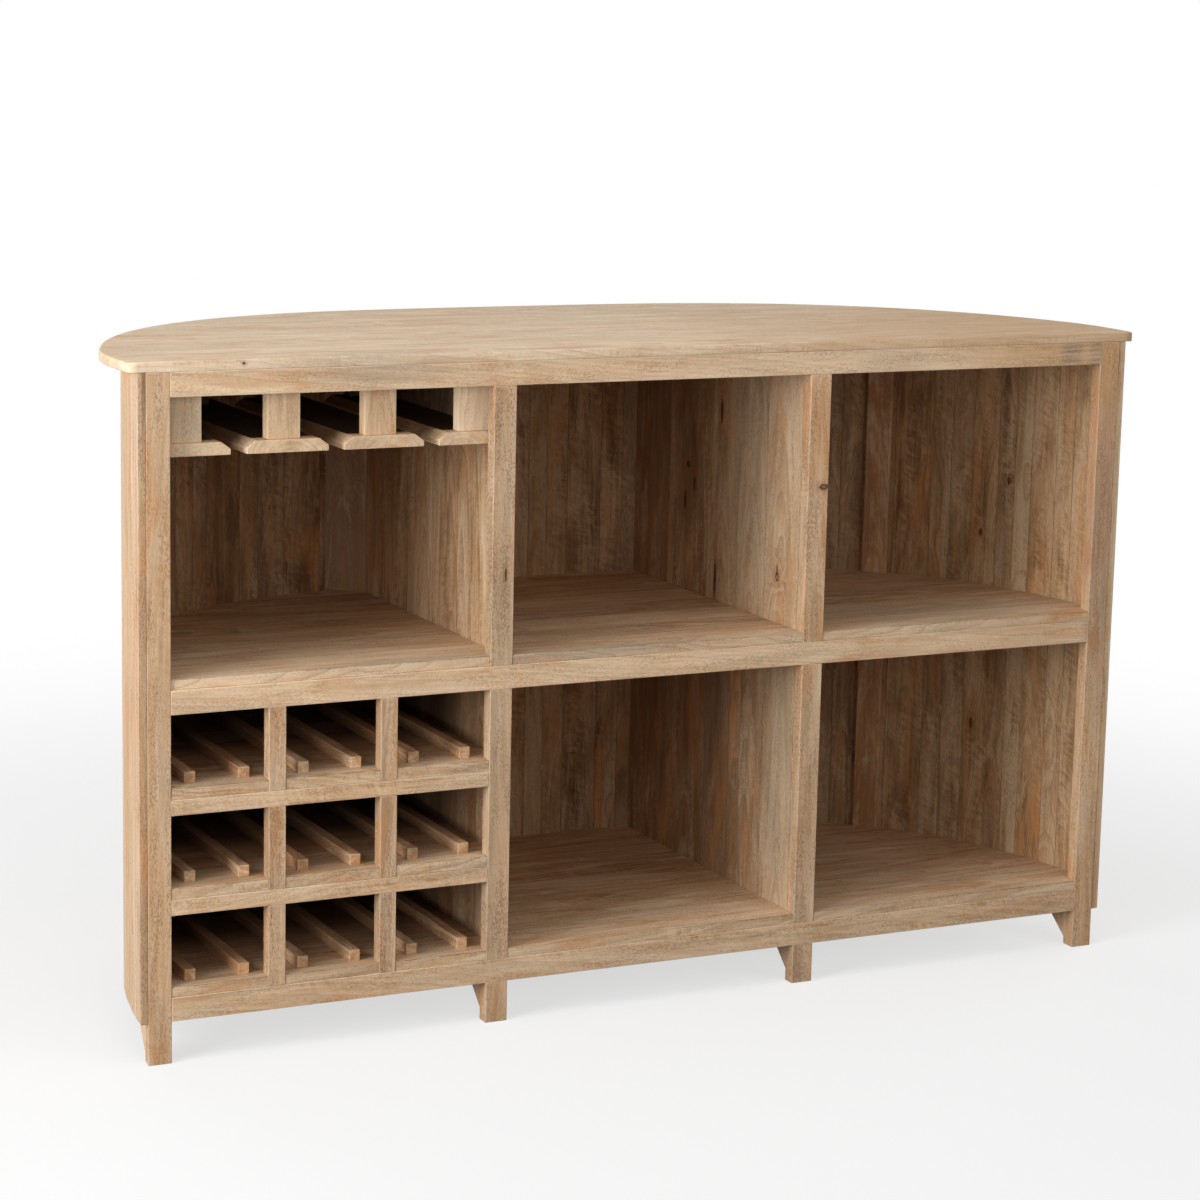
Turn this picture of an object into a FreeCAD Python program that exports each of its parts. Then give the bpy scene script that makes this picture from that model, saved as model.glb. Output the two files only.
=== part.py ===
import FreeCAD, Part
import math
import os
import re
import Sketcher

# Curved bar cabinet in solid wood. Its open service side is flat and faces -Y,
# and its customer side bows out towards +Y.
# The origin is the middle of the footprint, on the floor. Lengths are millimetres.

document = FreeCAD.newDocument("BarCabinet")
Vector = FreeCAD.Vector

# Driving sizes

driving_sizes = [
    ("overall_length", "1800"),
    ("overall_depth", "680"),
    ("overall_height", "1090"),
    ("end_overhang", "18"),
    ("back_overhang", "27"),
    ("top_thickness", "16"),
    ("top_edge_radius", "3"),
    ("top_end_run", "85"),
    ("top_corner_width", "6"),
    ("top_corner_depth", "14"),
    ("wall_thickness", "12"),
    ("member_width", "38"),
    ("frame_thickness", "24"),
    ("foot_height", "67"),
    ("board_thickness", "16"),
    ("board_setback", "1"),
    ("left_board_setback", "4"),
    ("divider_thickness", "16"),
    ("lower_bay_height", "430"),
    ("rack_rail_height", "25"),
    ("rack_board_thickness", "18"),
    ("rack_post_width", "28"),
    ("batten_size", "18"),
    ("batten_spacing", "88"),
    ("batten_shift", "4"),
    ("batten_front_gap", "4"),
    ("batten_rear_gap", "8"),
    ("hanger_height", "112"),
    ("slat_thickness", "20"),
    ("slat_gap", "25.5"),
    ("slat_end_gap", "0.8"),
    ("edge_slat_trim", "29"),
    ("slat_rear_gap", "123"),
    ("slat_front_gap", "2"),
    ("slat_bevel_width", "15"),
    ("slat_bevel_height", "11"),
    ("hanger_width", "53"),
    ("hanger_depth", "23"),
    ("hanger_inset", "8"),
    ("hanger_shift", "4"),
    ("foot_heel_height", "20"),
    ("foot_wedge_run", "94"),
    ("post_heel_step", "4"),
    ("post_heel_height", "13"),
    ("post_wedge_run", "120"),
    ("rear_foot_gap", "0.5"),
    ("wall_batten_inset", "182"),
    ("wall_batten_width", "45"),
    ("wall_batten_thickness", "12"),
    ("corner_strip_width", "62"),
    ("corner_strip_depth", "46"),
]

# Places that follow from the driving sizes

derived_places = [
    ("front", "-overall_depth / 2"),
    ("frame_back", "front + frame_thickness"),
    ("half_length", "overall_length / 2"),
    ("half_wall", "half_length - end_overhang"),
    ("half_frame", "half_wall - wall_thickness"),
    ("wall_depth", "overall_depth - back_overhang"),
    ("wall_batten_place", "half_wall - wall_batten_inset"),
    ("post_inside", "half_frame - member_width"),
    ("bay_width", "(2 * half_frame - 4 * member_width) / 3"),
    ("stile_outside", "post_inside - bay_width"),
    ("stile_inside", "stile_outside - member_width"),
    ("divider_outside", "stile_inside + divider_thickness"),
    ("divider_middle", "stile_inside + divider_thickness / 2"),
    ("rail_top", "foot_height + member_width"),
    ("lower_floor", "rail_top + board_thickness"),
    ("middle_rail_level", "lower_floor + lower_bay_height"),
    ("middle_rail_top", "middle_rail_level + member_width"),
    ("upper_floor", "middle_rail_top + board_thickness"),
    ("top_underside", "overall_height - top_thickness"),
    ("top_rail_level", "top_underside - member_width"),
    ("wall_height", "top_underside - foot_height"),
    ("board_front", "front + board_setback"),
    ("left_board_front", "front + left_board_setback"),
    ("rack_step", "rack_rail_height + rack_board_thickness"),
    ("cell_height", "(lower_bay_height - 2 * rack_step) / 3"),
    ("cell_width", "(bay_width - 2 * rack_post_width) / 3"),
    ("cell_pitch", "cell_width + rack_post_width"),
    ("row_pitch", "cell_height + rack_step"),
    ("slat_level", "top_underside - hanger_height - slat_thickness"),
    ("slat_top", "slat_level + slat_thickness"),
    ("slat_front", "frame_back + slat_front_gap"),
    ("slat_back", "front + wall_depth - slat_rear_gap"),
    ("slat_length", "slat_back - slat_front"),
    ("slat_shoulder", "slat_thickness - slat_bevel_height"),
    ("slat_room", "post_inside - divider_outside - slat_end_gap"),
    ("slat_width", "(slat_room - 3 * slat_gap + 2 * edge_slat_trim) / 4"),
    ("edge_slat_width", "slat_width - edge_slat_trim"),
    ("slat_pitch", "slat_width + slat_gap"),
    ("slat_far_bevel", "slat_width - slat_bevel_width"),
    ("edge_slat_far_bevel", "edge_slat_width - slat_bevel_width"),
    ("hanger_front", "slat_front + hanger_inset"),
    ("hanger_middle", "-divider_outside - edge_slat_width - slat_gap - slat_width / 2 - 2 * slat_pitch"),
    ("hanger_start", "hanger_middle - hanger_width / 2 - hanger_shift"),
    ("foot_wedge_reach", "frame_thickness + foot_wedge_run"),
    ("post_heel_reach", "frame_thickness + post_heel_step"),
    ("post_wedge_reach", "post_heel_reach + post_wedge_run"),
]


def make_sheet(name, rows, prefix):
    sheet = document.addObject("Spreadsheet::Sheet", name)
    for number, (alias, content) in enumerate(rows, start=1):
        sheet.set(f"A{number}", alias)
        sheet.set(f"B{number}", prefix + content)
        sheet.setAlias(f"B{number}", alias)
    return sheet


driving_names = {alias for alias, content in driving_sizes}
derived_names = {alias for alias, content in derived_places}


def with_sheets(formula):
    # Puts the name of its sheet before each alias in a formula.
    def with_sheet(match):
        word = match.group(0)
        if word in driving_names:
            return "Sizes." + word
        return "Places." + word if word in derived_names else word

    return re.sub(r"[a-z_]+", with_sheet, formula)


sizes = make_sheet("Sizes", driving_sizes, "")
document.recompute()
places = make_sheet("Places", [(alias, with_sheets(formula)) for alias, formula in derived_places], "=")
document.recompute()


def value(alias):
    return float((sizes if alias in driving_names else places).get(alias))


def bind(item, target, formula):
    item.setExpression(target, with_sheets(formula))


def place(item, x, y, z):
    bind(item, "Placement.Base.x", x)
    bind(item, "Placement.Base.y", y)
    bind(item, "Placement.Base.z", z)


subparts = []


def keep(item, label):
    item.Label = label
    subparts.append(item)
    return item


# Plan of the curved wall and of the top

wall_end_power = 3.25
wall_side_power = 3.54
wall_lead_share = 0.785
top_end_power = 3.16
top_side_power = 1.61
top_lead_share = 0.0
curve_steps = 720
top_arc_pairs = 8
stave_width_shares = [
    0.90, 1.10, 0.80, 1.20, 1.05, 0.85, 1.25, 0.95, 0.75, 1.10, 1.20, 0.80,
    1.05, 0.90, 1.15, 0.85, 1.00, 1.20, 0.80, 1.10, 0.95, 1.25, 0.85, 1.05,
    1.00, 0.80, 1.20, 1.10, 0.90, 1.05, 1.25, 0.80, 1.10, 0.85, 1.15, 0.95,
]
staves_per_node = 3


def bowed_curve(half_length, base, depth, end_power, side_power, lead_share):
    # A flattened ellipse from the left end to the right end, behind its base line. Its
    # widest line lies ahead of the base by the lead share, so its ends lean inwards.
    span = 1 + lead_share
    kept = 1 - (lead_share / span) ** side_power
    points = []
    for step in range(curve_steps + 1):
        turn = -math.cos(math.pi * step / curve_steps)
        x = math.copysign(abs(turn) ** (2 / end_power), turn)
        y = span * max(0.0, 1 - kept * turn * turn) ** (1 / side_power) - lead_share
        points.append((half_length * x, base + depth * y))
    return points


def along(points, shares):
    # The points of a line at the given shares of its length.
    travelled = [0.0]
    for start, end in zip(points, points[1:]):
        travelled.append(travelled[-1] + math.dist(start, end))
    found = []
    index = 0
    for share in shares:
        goal = share * travelled[-1]
        while index < len(points) - 2 and travelled[index + 1] < goal:
            index += 1
        part = (goal - travelled[index]) / (travelled[index + 1] - travelled[index])
        start, end = points[index], points[index + 1]
        found.append(tuple(a + part * (b - a) for a, b in zip(start, end)))
    return found


def turning_points(points, count):
    # Where a curve has turned by equal steps on its way round, with its heading there.
    headings = [math.atan2(end[1] - start[1], end[0] - start[0]) for start, end in zip(points, points[1:])]
    turned = [(points[0], math.pi / 2)]
    for step in range(1, count):
        goal = math.pi / 2 - math.pi * step / count
        turned.append((next(point for point, heading in zip(points, headings) if heading <= goal), goal))
    return turned + [(points[-1], -math.pi / 2)]


def arc_between(start, heading, end):
    # The arc that leaves its start with this heading and reaches its end.
    chord = math.atan2(end[1] - start[1], end[0] - start[0])
    sag = math.dist(start, end) / 2 * math.tan((heading - chord) / 2)
    middle_x = (start[0] + end[0]) / 2 - sag * math.sin(chord)
    middle_y = (start[1] + end[1]) / 2 + sag * math.cos(chord)
    return Part.Arc(Vector(*end, 0), Vector(middle_x, middle_y, 0), Vector(*start, 0))


def arc_pair(start, heading, end, end_heading):
    # Two arcs that meet smoothly and keep the headings at both ends.
    leave = (math.cos(heading), math.sin(heading))
    arrive = (math.cos(end_heading), math.sin(end_heading))
    way = (end[0] - start[0], end[1] - start[1])
    both = (leave[0] + arrive[0], leave[1] + arrive[1])
    spread = 2 * (1 - leave[0] * arrive[0] - leave[1] * arrive[1])
    shared = way[0] * both[0] + way[1] * both[1]
    reach = (math.sqrt(shared ** 2 + spread * (way[0] ** 2 + way[1] ** 2)) - shared) / spread
    joint = tuple((a + reach * p + b - reach * q) / 2 for a, p, b, q in zip(start, leave, end, arrive))
    joint_heading = 2 * math.atan2(joint[1] - start[1], joint[0] - start[0]) - heading
    return [arc_between(start, heading, joint), arc_between(joint, joint_heading, end)]


def running_shares(widths):
    total = sum(widths)
    return [sum(widths[:count]) / total for count in range(len(widths) + 1)]


def inner_line(outer, thickness):
    # The inner corners of flat staves of one thickness, mitred where they meet and
    # cut level with the service side at both ends.
    normals = []
    for start, end in zip(outer, outer[1:]):
        length = math.dist(start, end)
        normals.append(((end[1] - start[1]) / length, (start[0] - end[0]) / length))
    inner = []
    for index, corner in enumerate(outer):
        before = normals[max(index - 1, 0)]
        after = normals[min(index, len(normals) - 1)]
        if index in (0, len(outer) - 1):
            inner.append((corner[0] + thickness / before[0], corner[1]))
            continue
        mitre = 1 + before[0] * after[0] + before[1] * after[1]
        inner.append(tuple(c + thickness * (a + b) / mitre for c, a, b in zip(corner, before, after)))
    return inner


wall_powers = (wall_end_power, wall_side_power, wall_lead_share)
wall_curve = bowed_curve(value("half_wall"), value("front"), value("wall_depth"), *wall_powers)
wall_outside = along(wall_curve, running_shares(stave_width_shares))
wall_inside = inner_line(wall_outside, value("wall_thickness"))


def wall_y(x):
    # Where the wall's inner face is, for a distance along the cabinet.
    for start, end in zip(wall_inside, wall_inside[1:]):
        if start[0] <= x <= end[0]:
            return start[1] + (x - start[0]) / (end[0] - start[0]) * (end[1] - start[1])
    return value("front")


def wall_x(side, y):
    # Where the wall's inner face is at the left end (-1) or the right end (1), for a
    # distance from the service side.
    line = wall_inside if side < 0 else wall_inside[::-1]
    for start, end in zip(line, line[1:]):
        if start[1] <= y <= end[1]:
            return start[0] + (y - start[1]) / (end[1] - start[1]) * (end[0] - start[0])
    return side * value("half_frame")


def wall_run(left, right):
    between = [point for point in wall_inside if left < point[0] < right]
    return [(left, wall_y(left))] + between + [(right, wall_y(right))]


# Shapes that several pieces share

def add_outline(body, plane_role, corners):
    # A closed outline on one of the body's own planes. A corner's coordinate is a
    # number, or the name of a size, which then drives it.
    sketch = body.newObject("Sketcher::SketchObject", body.Name + "Outline")
    plane = next(item for item in body.Origin.OriginFeatures if item.Role == plane_role)
    sketch.AttachmentSupport = (plane, [""])
    sketch.MapMode = "FlatFace"
    spots = [[value(c) if isinstance(c, str) else c for c in corner] for corner in corners]
    count = len(spots)
    for index, (x, y) in enumerate(spots):
        next_x, next_y = spots[(index + 1) % count]
        sketch.addGeometry(Part.LineSegment(Vector(x, y, 0), Vector(next_x, next_y, 0)))
    for index in range(count):
        sketch.addConstraint(Sketcher.Constraint("Coincident", index, 2, (index + 1) % count, 1))
    for index, corner in enumerate(corners):
        for kind, letter, source, spot in zip(("DistanceX", "DistanceY"), "xy", corner, spots[index]):
            number = sketch.addConstraint(Sketcher.Constraint(kind, -1, 1, index, 1, spot))
            sketch.renameConstraint(number, letter + str(index))
            if isinstance(source, str):
                bind(sketch, "Constraints." + letter + str(index), source)
    return sketch


def prism(name, plane_role, corners, length, backwards=False):
    body = document.addObject("PartDesign::Body", name)
    sketch = add_outline(body, plane_role, corners)
    pad = body.newObject("PartDesign::Pad", name + "Pad")
    pad.Profile = sketch
    pad.Reversed = backwards
    bind(pad, "Length", length)
    body.Tip = pad
    return body


def plan_piece(label, corners, height, level):
    # A piece of even height over an outline seen from above.
    body = prism(label, "XY_Plane", corners, height)
    place(body, "0", "0", level)
    return body


def block(name, length, width, height, x, y, z):
    box = document.addObject("Part::Box", name)
    bind(box, "Length", length)
    bind(box, "Width", width)
    bind(box, "Height", height)
    place(box, x, y, z)
    return box


def group(label, pieces):
    compound = document.addObject("Part::Compound", label)
    compound.Links = pieces
    return keep(compound, label)


# Top: one glued panel with a bowed edge, its rims rounded over

def make_top():
    body = document.addObject("PartDesign::Body", "top")
    sketch = body.newObject("Sketcher::SketchObject", "topOutline")
    plane = next(item for item in body.Origin.OriginFeatures if item.Role == "XY_Plane")
    sketch.AttachmentSupport = (plane, [""])
    sketch.MapMode = "FlatFace"
    powers = (top_end_power, top_side_power, top_lead_share)
    front, far, base = value("front"), value("half_length"), value("front") + value("top_end_run")
    dense = bowed_curve(far, base, value("overall_depth") - value("top_end_run"), *powers)
    turned = turning_points(dense, top_arc_pairs)
    arcs = []
    for start, end in zip(turned, turned[1:]):
        arcs += arc_pair(*start, *end)
    for arc in arcs:
        sketch.addGeometry(arc)
    clip_x, clip_y = far - value("top_corner_width"), front + value("top_corner_depth")
    service = [dense[0], (-far, clip_y), (-clip_x, front), (clip_x, front), (far, clip_y), dense[-1]]
    for start, stop in zip(service, service[1:]):
        sketch.addGeometry(Part.LineSegment(Vector(*start, 0), Vector(*stop, 0)))
    for index in range(len(arcs) - 1):
        sketch.addConstraint(Sketcher.Constraint("Coincident", index, 1, index + 1, 2))
    last = len(arcs) + len(service) - 2
    for index in range(len(arcs), last):
        sketch.addConstraint(Sketcher.Constraint("Coincident", index, 2, index + 1, 1))
    sketch.addConstraint(Sketcher.Constraint("Coincident", 0, 2, len(arcs), 1))
    sketch.addConstraint(Sketcher.Constraint("Coincident", len(arcs) - 1, 1, last, 2))
    pad = body.newObject("PartDesign::Pad", "topPad")
    pad.Profile = sketch
    bind(pad, "Length", "top_thickness")
    document.recompute()
    rims = []
    for number, edge in enumerate(pad.Shape.Edges, start=1):
        if edge.BoundBox.ZLength < value("top_edge_radius"):
            rims.append(f"Edge{number}")
    fillet = body.newObject("PartDesign::Fillet", "topRims")
    fillet.Base = (pad, rims)
    bind(fillet, "Radius", "top_edge_radius")
    body.Tip = fillet
    place(body, "0", "0", "top_underside")
    keep(body, "top")


# Service frame: end posts, three rails, stiles

def make_frame():
    for side, label in ((-1, "left_post"), (1, "right_post")):
        inside = side * value("post_inside")
        corners = [
            (wall_x(side, value("front")), "front"),
            (inside, "front"),
            (inside, "frame_back"),
            (wall_x(side, value("frame_back")), "frame_back"),
        ]
        keep(plan_piece(label, corners, "top_underside", "0"), label)
    rails = (
        ("bottom_rail", "foot_height"),
        ("middle_rail", "middle_rail_level"),
        ("top_rail", "top_rail_level"),
    )
    for label, level in rails:
        section = ("frame_thickness", "member_width")
        keep(block(label, "2 * post_inside", *section, "-post_inside", "front", level), label)
    storeys = (
        ("lower", "rail_top", "middle_rail_level - rail_top"),
        ("upper", "middle_rail_top", "top_rail_level - middle_rail_top"),
    )
    for side, x in (("left", "-stile_outside"), ("right", "stile_inside")):
        for storey, level, height in storeys:
            label = f"{side}_stile_{storey}"
            keep(block(label, "member_width", "frame_thickness", height, x, "front", level), label)


# The room outside the wall's inner face at one end, which trims what runs up to it

def wall_side(side):
    half = [point for point in wall_inside if side * point[0] > 0]
    if side > 0:
        half.reverse()
    far = side * value("half_length")
    corners = half + [(far, half[-1][1]), (far, value("front"))]
    return plan_piece("left_room" if side < 0 else "right_room", corners, "overall_height", "0")


def trim(piece, room, label):
    cut = document.addObject("Part::Cut", label)
    cut.Base = piece
    cut.Tool = room
    return keep(cut, label)


# Feet: wedges under the stiles, behind the end posts and under the wall's back

def make_feet(rooms):
    stile_wedge = [
        (0, 0),
        ("frame_thickness", 0),
        ("frame_thickness", "foot_heel_height"),
        ("foot_wedge_reach", "rail_top"),
        ("frame_thickness", "rail_top"),
        ("frame_thickness", "foot_height"),
        (0, "foot_height"),
    ]
    post_wedge = [
        ("frame_thickness", 0),
        ("post_heel_reach", 0),
        ("post_heel_reach", "post_heel_height"),
        ("post_wedge_reach", "rail_top"),
        ("frame_thickness", "rail_top"),
    ]
    rear_wedge = [
        (0, 0),
        ("frame_thickness", 0),
        ("frame_thickness", "foot_heel_height"),
        ("foot_wedge_reach", "rail_top"),
        (0, "rail_top"),
    ]
    for label, x in (("left_stile_foot", "-stile_outside"), ("right_stile_foot", "stile_inside")):
        foot = prism(label, "YZ_Plane", stile_wedge, "member_width")
        place(foot, x, "front", "0")
        keep(foot, label)
    post_feet = (("left_post_foot", "-half_frame"), ("right_post_foot", "post_inside"))
    for (label, x), room in zip(post_feet, rooms):
        foot = prism(label + "_blank", "YZ_Plane", post_wedge, "member_width")
        place(foot, x, "front", "0")
        trim(foot, room, label)
    back = min(wall_y(value("stile_inside")), wall_y(value("stile_outside"))) - value("rear_foot_gap")
    for label, x in (("left_rear_foot", "-stile_inside"), ("right_rear_foot", "stile_outside")):
        foot = prism(label, "YZ_Plane", rear_wedge, "member_width")
        foot.Placement = FreeCAD.Placement(Vector(0, back, 0), FreeCAD.Rotation(Vector(0, 0, 1), 180))
        bind(foot, "Placement.Base.x", x)
        keep(foot, label)


# Floor boards: each fills the plan from the frame to the wall, and comes forward
# between the uprights as far as its front edge

seam_share = 0.001

def board_outline(left, right, edge, gaps):
    back = value("frame_back")
    corners = [(left, back)]
    for start, end in gaps:
        corners += [(start, back), (start, edge), (end, edge), (end, back)]
    corners.append((right, back))
    seam = seam_share * value("wall_thickness")
    behind = [point for point in wall_run(left, right) if point[1] - back > seam]
    return corners + behind[::-1]


def rack_uprights():
    # The left edge of each of the two rack uprights between the three columns of cells.
    start = -value("post_inside")
    return [start + count * value("cell_pitch") - value("rack_post_width") for count in (1, 2)]


def rack_gaps():
    edges = [-value("post_inside")]
    for left in rack_uprights():
        edges += [left, left + value("rack_post_width")]
    edges.append(-value("stile_outside"))
    return list(zip(edges[::2], edges[1::2]))


def make_boards():
    left_end, right_end = (wall_x(side, value("frame_back")) for side in (-1, 1))
    middle = value("divider_middle")
    stile_inside = value("stile_inside")
    right_gap = (value("stile_outside"), value("post_inside"))
    centre_gap = (-stile_inside, stile_inside)
    front = value("board_front")
    bottom = board_outline(left_end, right_end, front, rack_gaps() + [centre_gap, right_gap])
    keep(plan_piece("bottom_board", bottom, "board_thickness", "rail_top"), "bottom_board")
    left_gap = (-value("post_inside"), -value("stile_outside"))
    left = board_outline(left_end, -middle, value("left_board_front"), [left_gap])
    centre = board_outline(-middle, middle, front, [centre_gap])
    right = board_outline(middle, right_end, front, [right_gap])
    for side, corners in (("left", left), ("centre", centre), ("right", right)):
        label = "middle_board_" + side
        keep(plan_piece(label, corners, "board_thickness", "middle_rail_top"), label)
    shelf = board_outline(left_end, -value("divider_outside"), front, rack_gaps())
    for label, count in (("rack_board_lower", 1), ("rack_board_upper", 2)):
        level = f"lower_floor + {count} * row_pitch - rack_board_thickness"
        keep(plan_piece(label, shelf, "rack_board_thickness", level), label)


# Dividers: full depth, one pair in each storey, the middle bay's sides flush with the stiles

def make_dividers():
    outside = value("divider_outside")
    inside = value("stile_inside")
    front = value("frame_back")
    storeys = (
        ("lower", "lower_floor", "middle_rail_top - lower_floor"),
        ("upper", "upper_floor", "top_underside - upper_floor"),
    )
    for side, left, right in (("left", -outside, -inside), ("right", inside, outside)):
        corners = [(left, front), (right, front)] + wall_run(left, right)[::-1]
        for storey, level, height in storeys:
            label = f"{side}_divider_{storey}"
            keep(plan_piece(label, corners, height, level), label)


# Bottle rack: three rows of three cells, with a rail and a board between rows and
# pairs of battens to cradle each bottle

def make_bottle_rack():
    for label, count in (("rack_rail_lower", 1), ("rack_rail_upper", 2)):
        level = f"lower_floor + {count} * row_pitch - rack_step"
        section = ("frame_thickness", "rack_rail_height")
        keep(block(label, "bay_width", *section, "-post_inside", "front", level), label)
    rows = (
        ("lower", "rail_top", "lower_floor + cell_height - rail_top"),
        ("middle", "lower_floor + row_pitch - rack_board_thickness", "cell_height + rack_board_thickness"),
        ("upper", "lower_floor + 2 * row_pitch - rack_board_thickness", "cell_height + rack_board_thickness"),
    )
    for row, level, height in rows:
        for column, label in ((1, f"rack_post_{row}_left"), (2, f"rack_post_{row}_right")):
            x = f"-post_inside + {column} * cell_pitch - rack_post_width"
            keep(block(label, "rack_post_width", "frame_thickness", height, x, "front", level), label)
    for row, count in (("lower", 0), ("middle", 1), ("upper", 2)):
        battens = []
        for column in (0, 1, 2):
            for side in (-1, 1):
                battens.append(make_batten(row, count, column, side))
        group(f"bottle_battens_{row}", battens)


def make_batten(row, count, column, side):
    offset = f"batten_shift + {side} * batten_spacing / 2 - batten_size / 2"
    x = f"-post_inside + {column} * cell_pitch + cell_width / 2 + {offset}"
    left = -value("post_inside") + column * value("cell_pitch") + value("cell_width") / 2
    left += value("batten_shift") + side * value("batten_spacing") / 2 - value("batten_size") / 2
    back = min(wall_y(left), wall_y(left + value("batten_size"))) - value("batten_rear_gap")
    name = f"batten_{row}_{column}_{side + 1}"
    y = "frame_back + batten_front_gap"
    level = f"lower_floor + {count} * row_pitch"
    batten = block(name, "batten_size", "batten_size", "batten_size", x, y, level)
    batten.setExpression("Width", None)
    batten.Width = back - value("frame_back") - value("batten_front_gap")
    return batten


# Stemware rack: four slats on edge blocks, with a slot between slats for the stems

def make_stemware_rack(left_room):
    full = [
        (0, 0),
        ("slat_width", 0),
        ("slat_width", "slat_shoulder"),
        ("slat_far_bevel", "slat_thickness"),
        ("slat_bevel_width", "slat_thickness"),
        (0, "slat_shoulder"),
    ]
    left_edge = [
        (0, 0),
        ("edge_slat_width", 0),
        ("edge_slat_width", "slat_shoulder"),
        ("edge_slat_far_bevel", "slat_thickness"),
        (0, "slat_thickness"),
    ]
    right_edge = [
        (0, 0),
        ("edge_slat_width", 0),
        ("edge_slat_width", "slat_thickness"),
        ("slat_bevel_width", "slat_thickness"),
        (0, "slat_shoulder"),
    ]
    right_x = "-divider_outside - edge_slat_width"
    middle_x = right_x + " - slat_width - slat_gap"
    left_x = middle_x + " - slat_width - slat_gap - edge_slat_width - slat_gap"
    slats = (
        ("left", left_edge, left_x),
        ("middle_left", full, middle_x + " - slat_width - slat_gap"),
        ("middle_right", full, middle_x),
        ("right", right_edge, right_x),
    )
    front_hangers = []
    rear_hangers = []
    for step, (side, profile, x) in enumerate(slats):
        label = "stemware_slat_" + side
        slat = prism(label + "_blank", "XZ_Plane", profile, "slat_length", backwards=True)
        place(slat, x, "slat_front", "slat_level")
        trim(slat, left_room, label)
        spot = f"hanger_start + {step} * slat_pitch"
        hanger = ("hanger_width", "hanger_depth", "hanger_height")
        front_hangers.append(block("front_hanger_" + side, *hanger, spot, "hanger_front", "slat_top"))
        rear = block("rear_hanger_" + side, *hanger, spot, "hanger_front", "slat_top")
        back = min(value("slat_back"), wall_y(value("hanger_start") + step * value("slat_pitch")))
        rear.setExpression("Placement.Base.y", None)
        rear.Placement.Base.y = back - value("hanger_inset") - value("hanger_depth")
        rear_hangers.append(rear)
    group("stemware_hangers_front", front_hangers)
    group("stemware_hangers_rear", rear_hangers)


# Wall: flat staves of uneven width, mitred together round the bow

def make_wall():
    count = len(stave_width_shares)
    for first in range(0, count, staves_per_node):
        staves = []
        for index in range(first, first + staves_per_node):
            corners = [
                wall_outside[index],
                wall_inside[index],
                wall_inside[index + 1],
                wall_outside[index + 1],
            ]
            staves.append(plan_piece(f"stave_{index + 1:02d}", corners, "wall_height", "foot_height"))
        group(f"wall_staves_{first + 1:02d}_to_{first + staves_per_node:02d}", staves)


def make_wall_batten():
    # Two lengths of batten, one in each storey, on the inner face of one stave.
    spot = value("wall_batten_place")
    start, end = next(pair for pair in zip(wall_inside, wall_inside[1:]) if pair[0][0] <= spot <= pair[1][0])
    length = math.dist(start, end)
    along_x, along_y = (end[0] - start[0]) / length, (end[1] - start[1]) / length
    half = value("wall_batten_width") / 2
    proud = value("wall_batten_thickness")
    corners = []
    for reach, depth in ((-half, 0), (half, 0), (half, proud), (-half, proud)):
        x = (start[0] + end[0]) / 2 + along_x * reach + along_y * depth
        y = (start[1] + end[1]) / 2 + along_y * reach - along_x * depth
        corners.append((x, y))
    lower = plan_piece("wall_batten_lower", corners, "middle_rail_top - lower_floor", "lower_floor")
    keep(lower, "wall_batten_lower")
    upper = plan_piece("wall_batten_upper", corners, "top_underside - upper_floor", "upper_floor")
    keep(upper, "wall_batten_upper")


def make_corner_strip():
    # A three-sided strip in the corner between the wall and the left divider.
    right = -value("divider_outside")
    left = right - value("corner_strip_width")
    corners = [(right, wall_y(right) - value("corner_strip_depth"))] + wall_run(left, right)[::-1]
    strip = plan_piece("corner_strip", corners, "top_underside - upper_floor", "upper_floor")
    keep(strip, "corner_strip")


make_top()
make_frame()
rooms = [wall_side(-1), wall_side(1)]
make_feet(rooms)
make_boards()
make_dividers()
make_bottle_rack()
make_stemware_rack(rooms[0])
make_wall()
make_wall_batten()
make_corner_strip()
document.recompute()

# Check every object, then write the pieces

for item in document.Objects:
    if "Invalid" in item.State or "Error" in item.State:
        raise RuntimeError(f"{item.Name} failed: {item.State}")
for piece in subparts:
    if piece.Shape.isNull() or not piece.Shape.isValid() or not piece.Shape.Solids:
        raise RuntimeError(f"{piece.Label} has no sound shape")

os.makedirs("parts", exist_ok=True)
for piece in subparts:
    piece.Shape.exportStep(f"parts/{piece.Label}.step")
    box = piece.Shape.BoundBox
    low = f"{box.XMin:8.1f} {box.YMin:8.1f} {box.ZMin:8.1f}"
    high = f"{box.XMax:8.1f} {box.YMax:8.1f} {box.ZMax:8.1f}"
    print(f"{piece.Label:28s} solids {len(piece.Shape.Solids)}  {low}  {high}")
print(len(subparts), "sub-parts,", sum(len(piece.Shape.Solids) for piece in subparts), "solids")
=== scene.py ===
import math
import random

import bmesh
import bpy
from mathutils import Matrix, Vector, noise


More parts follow.
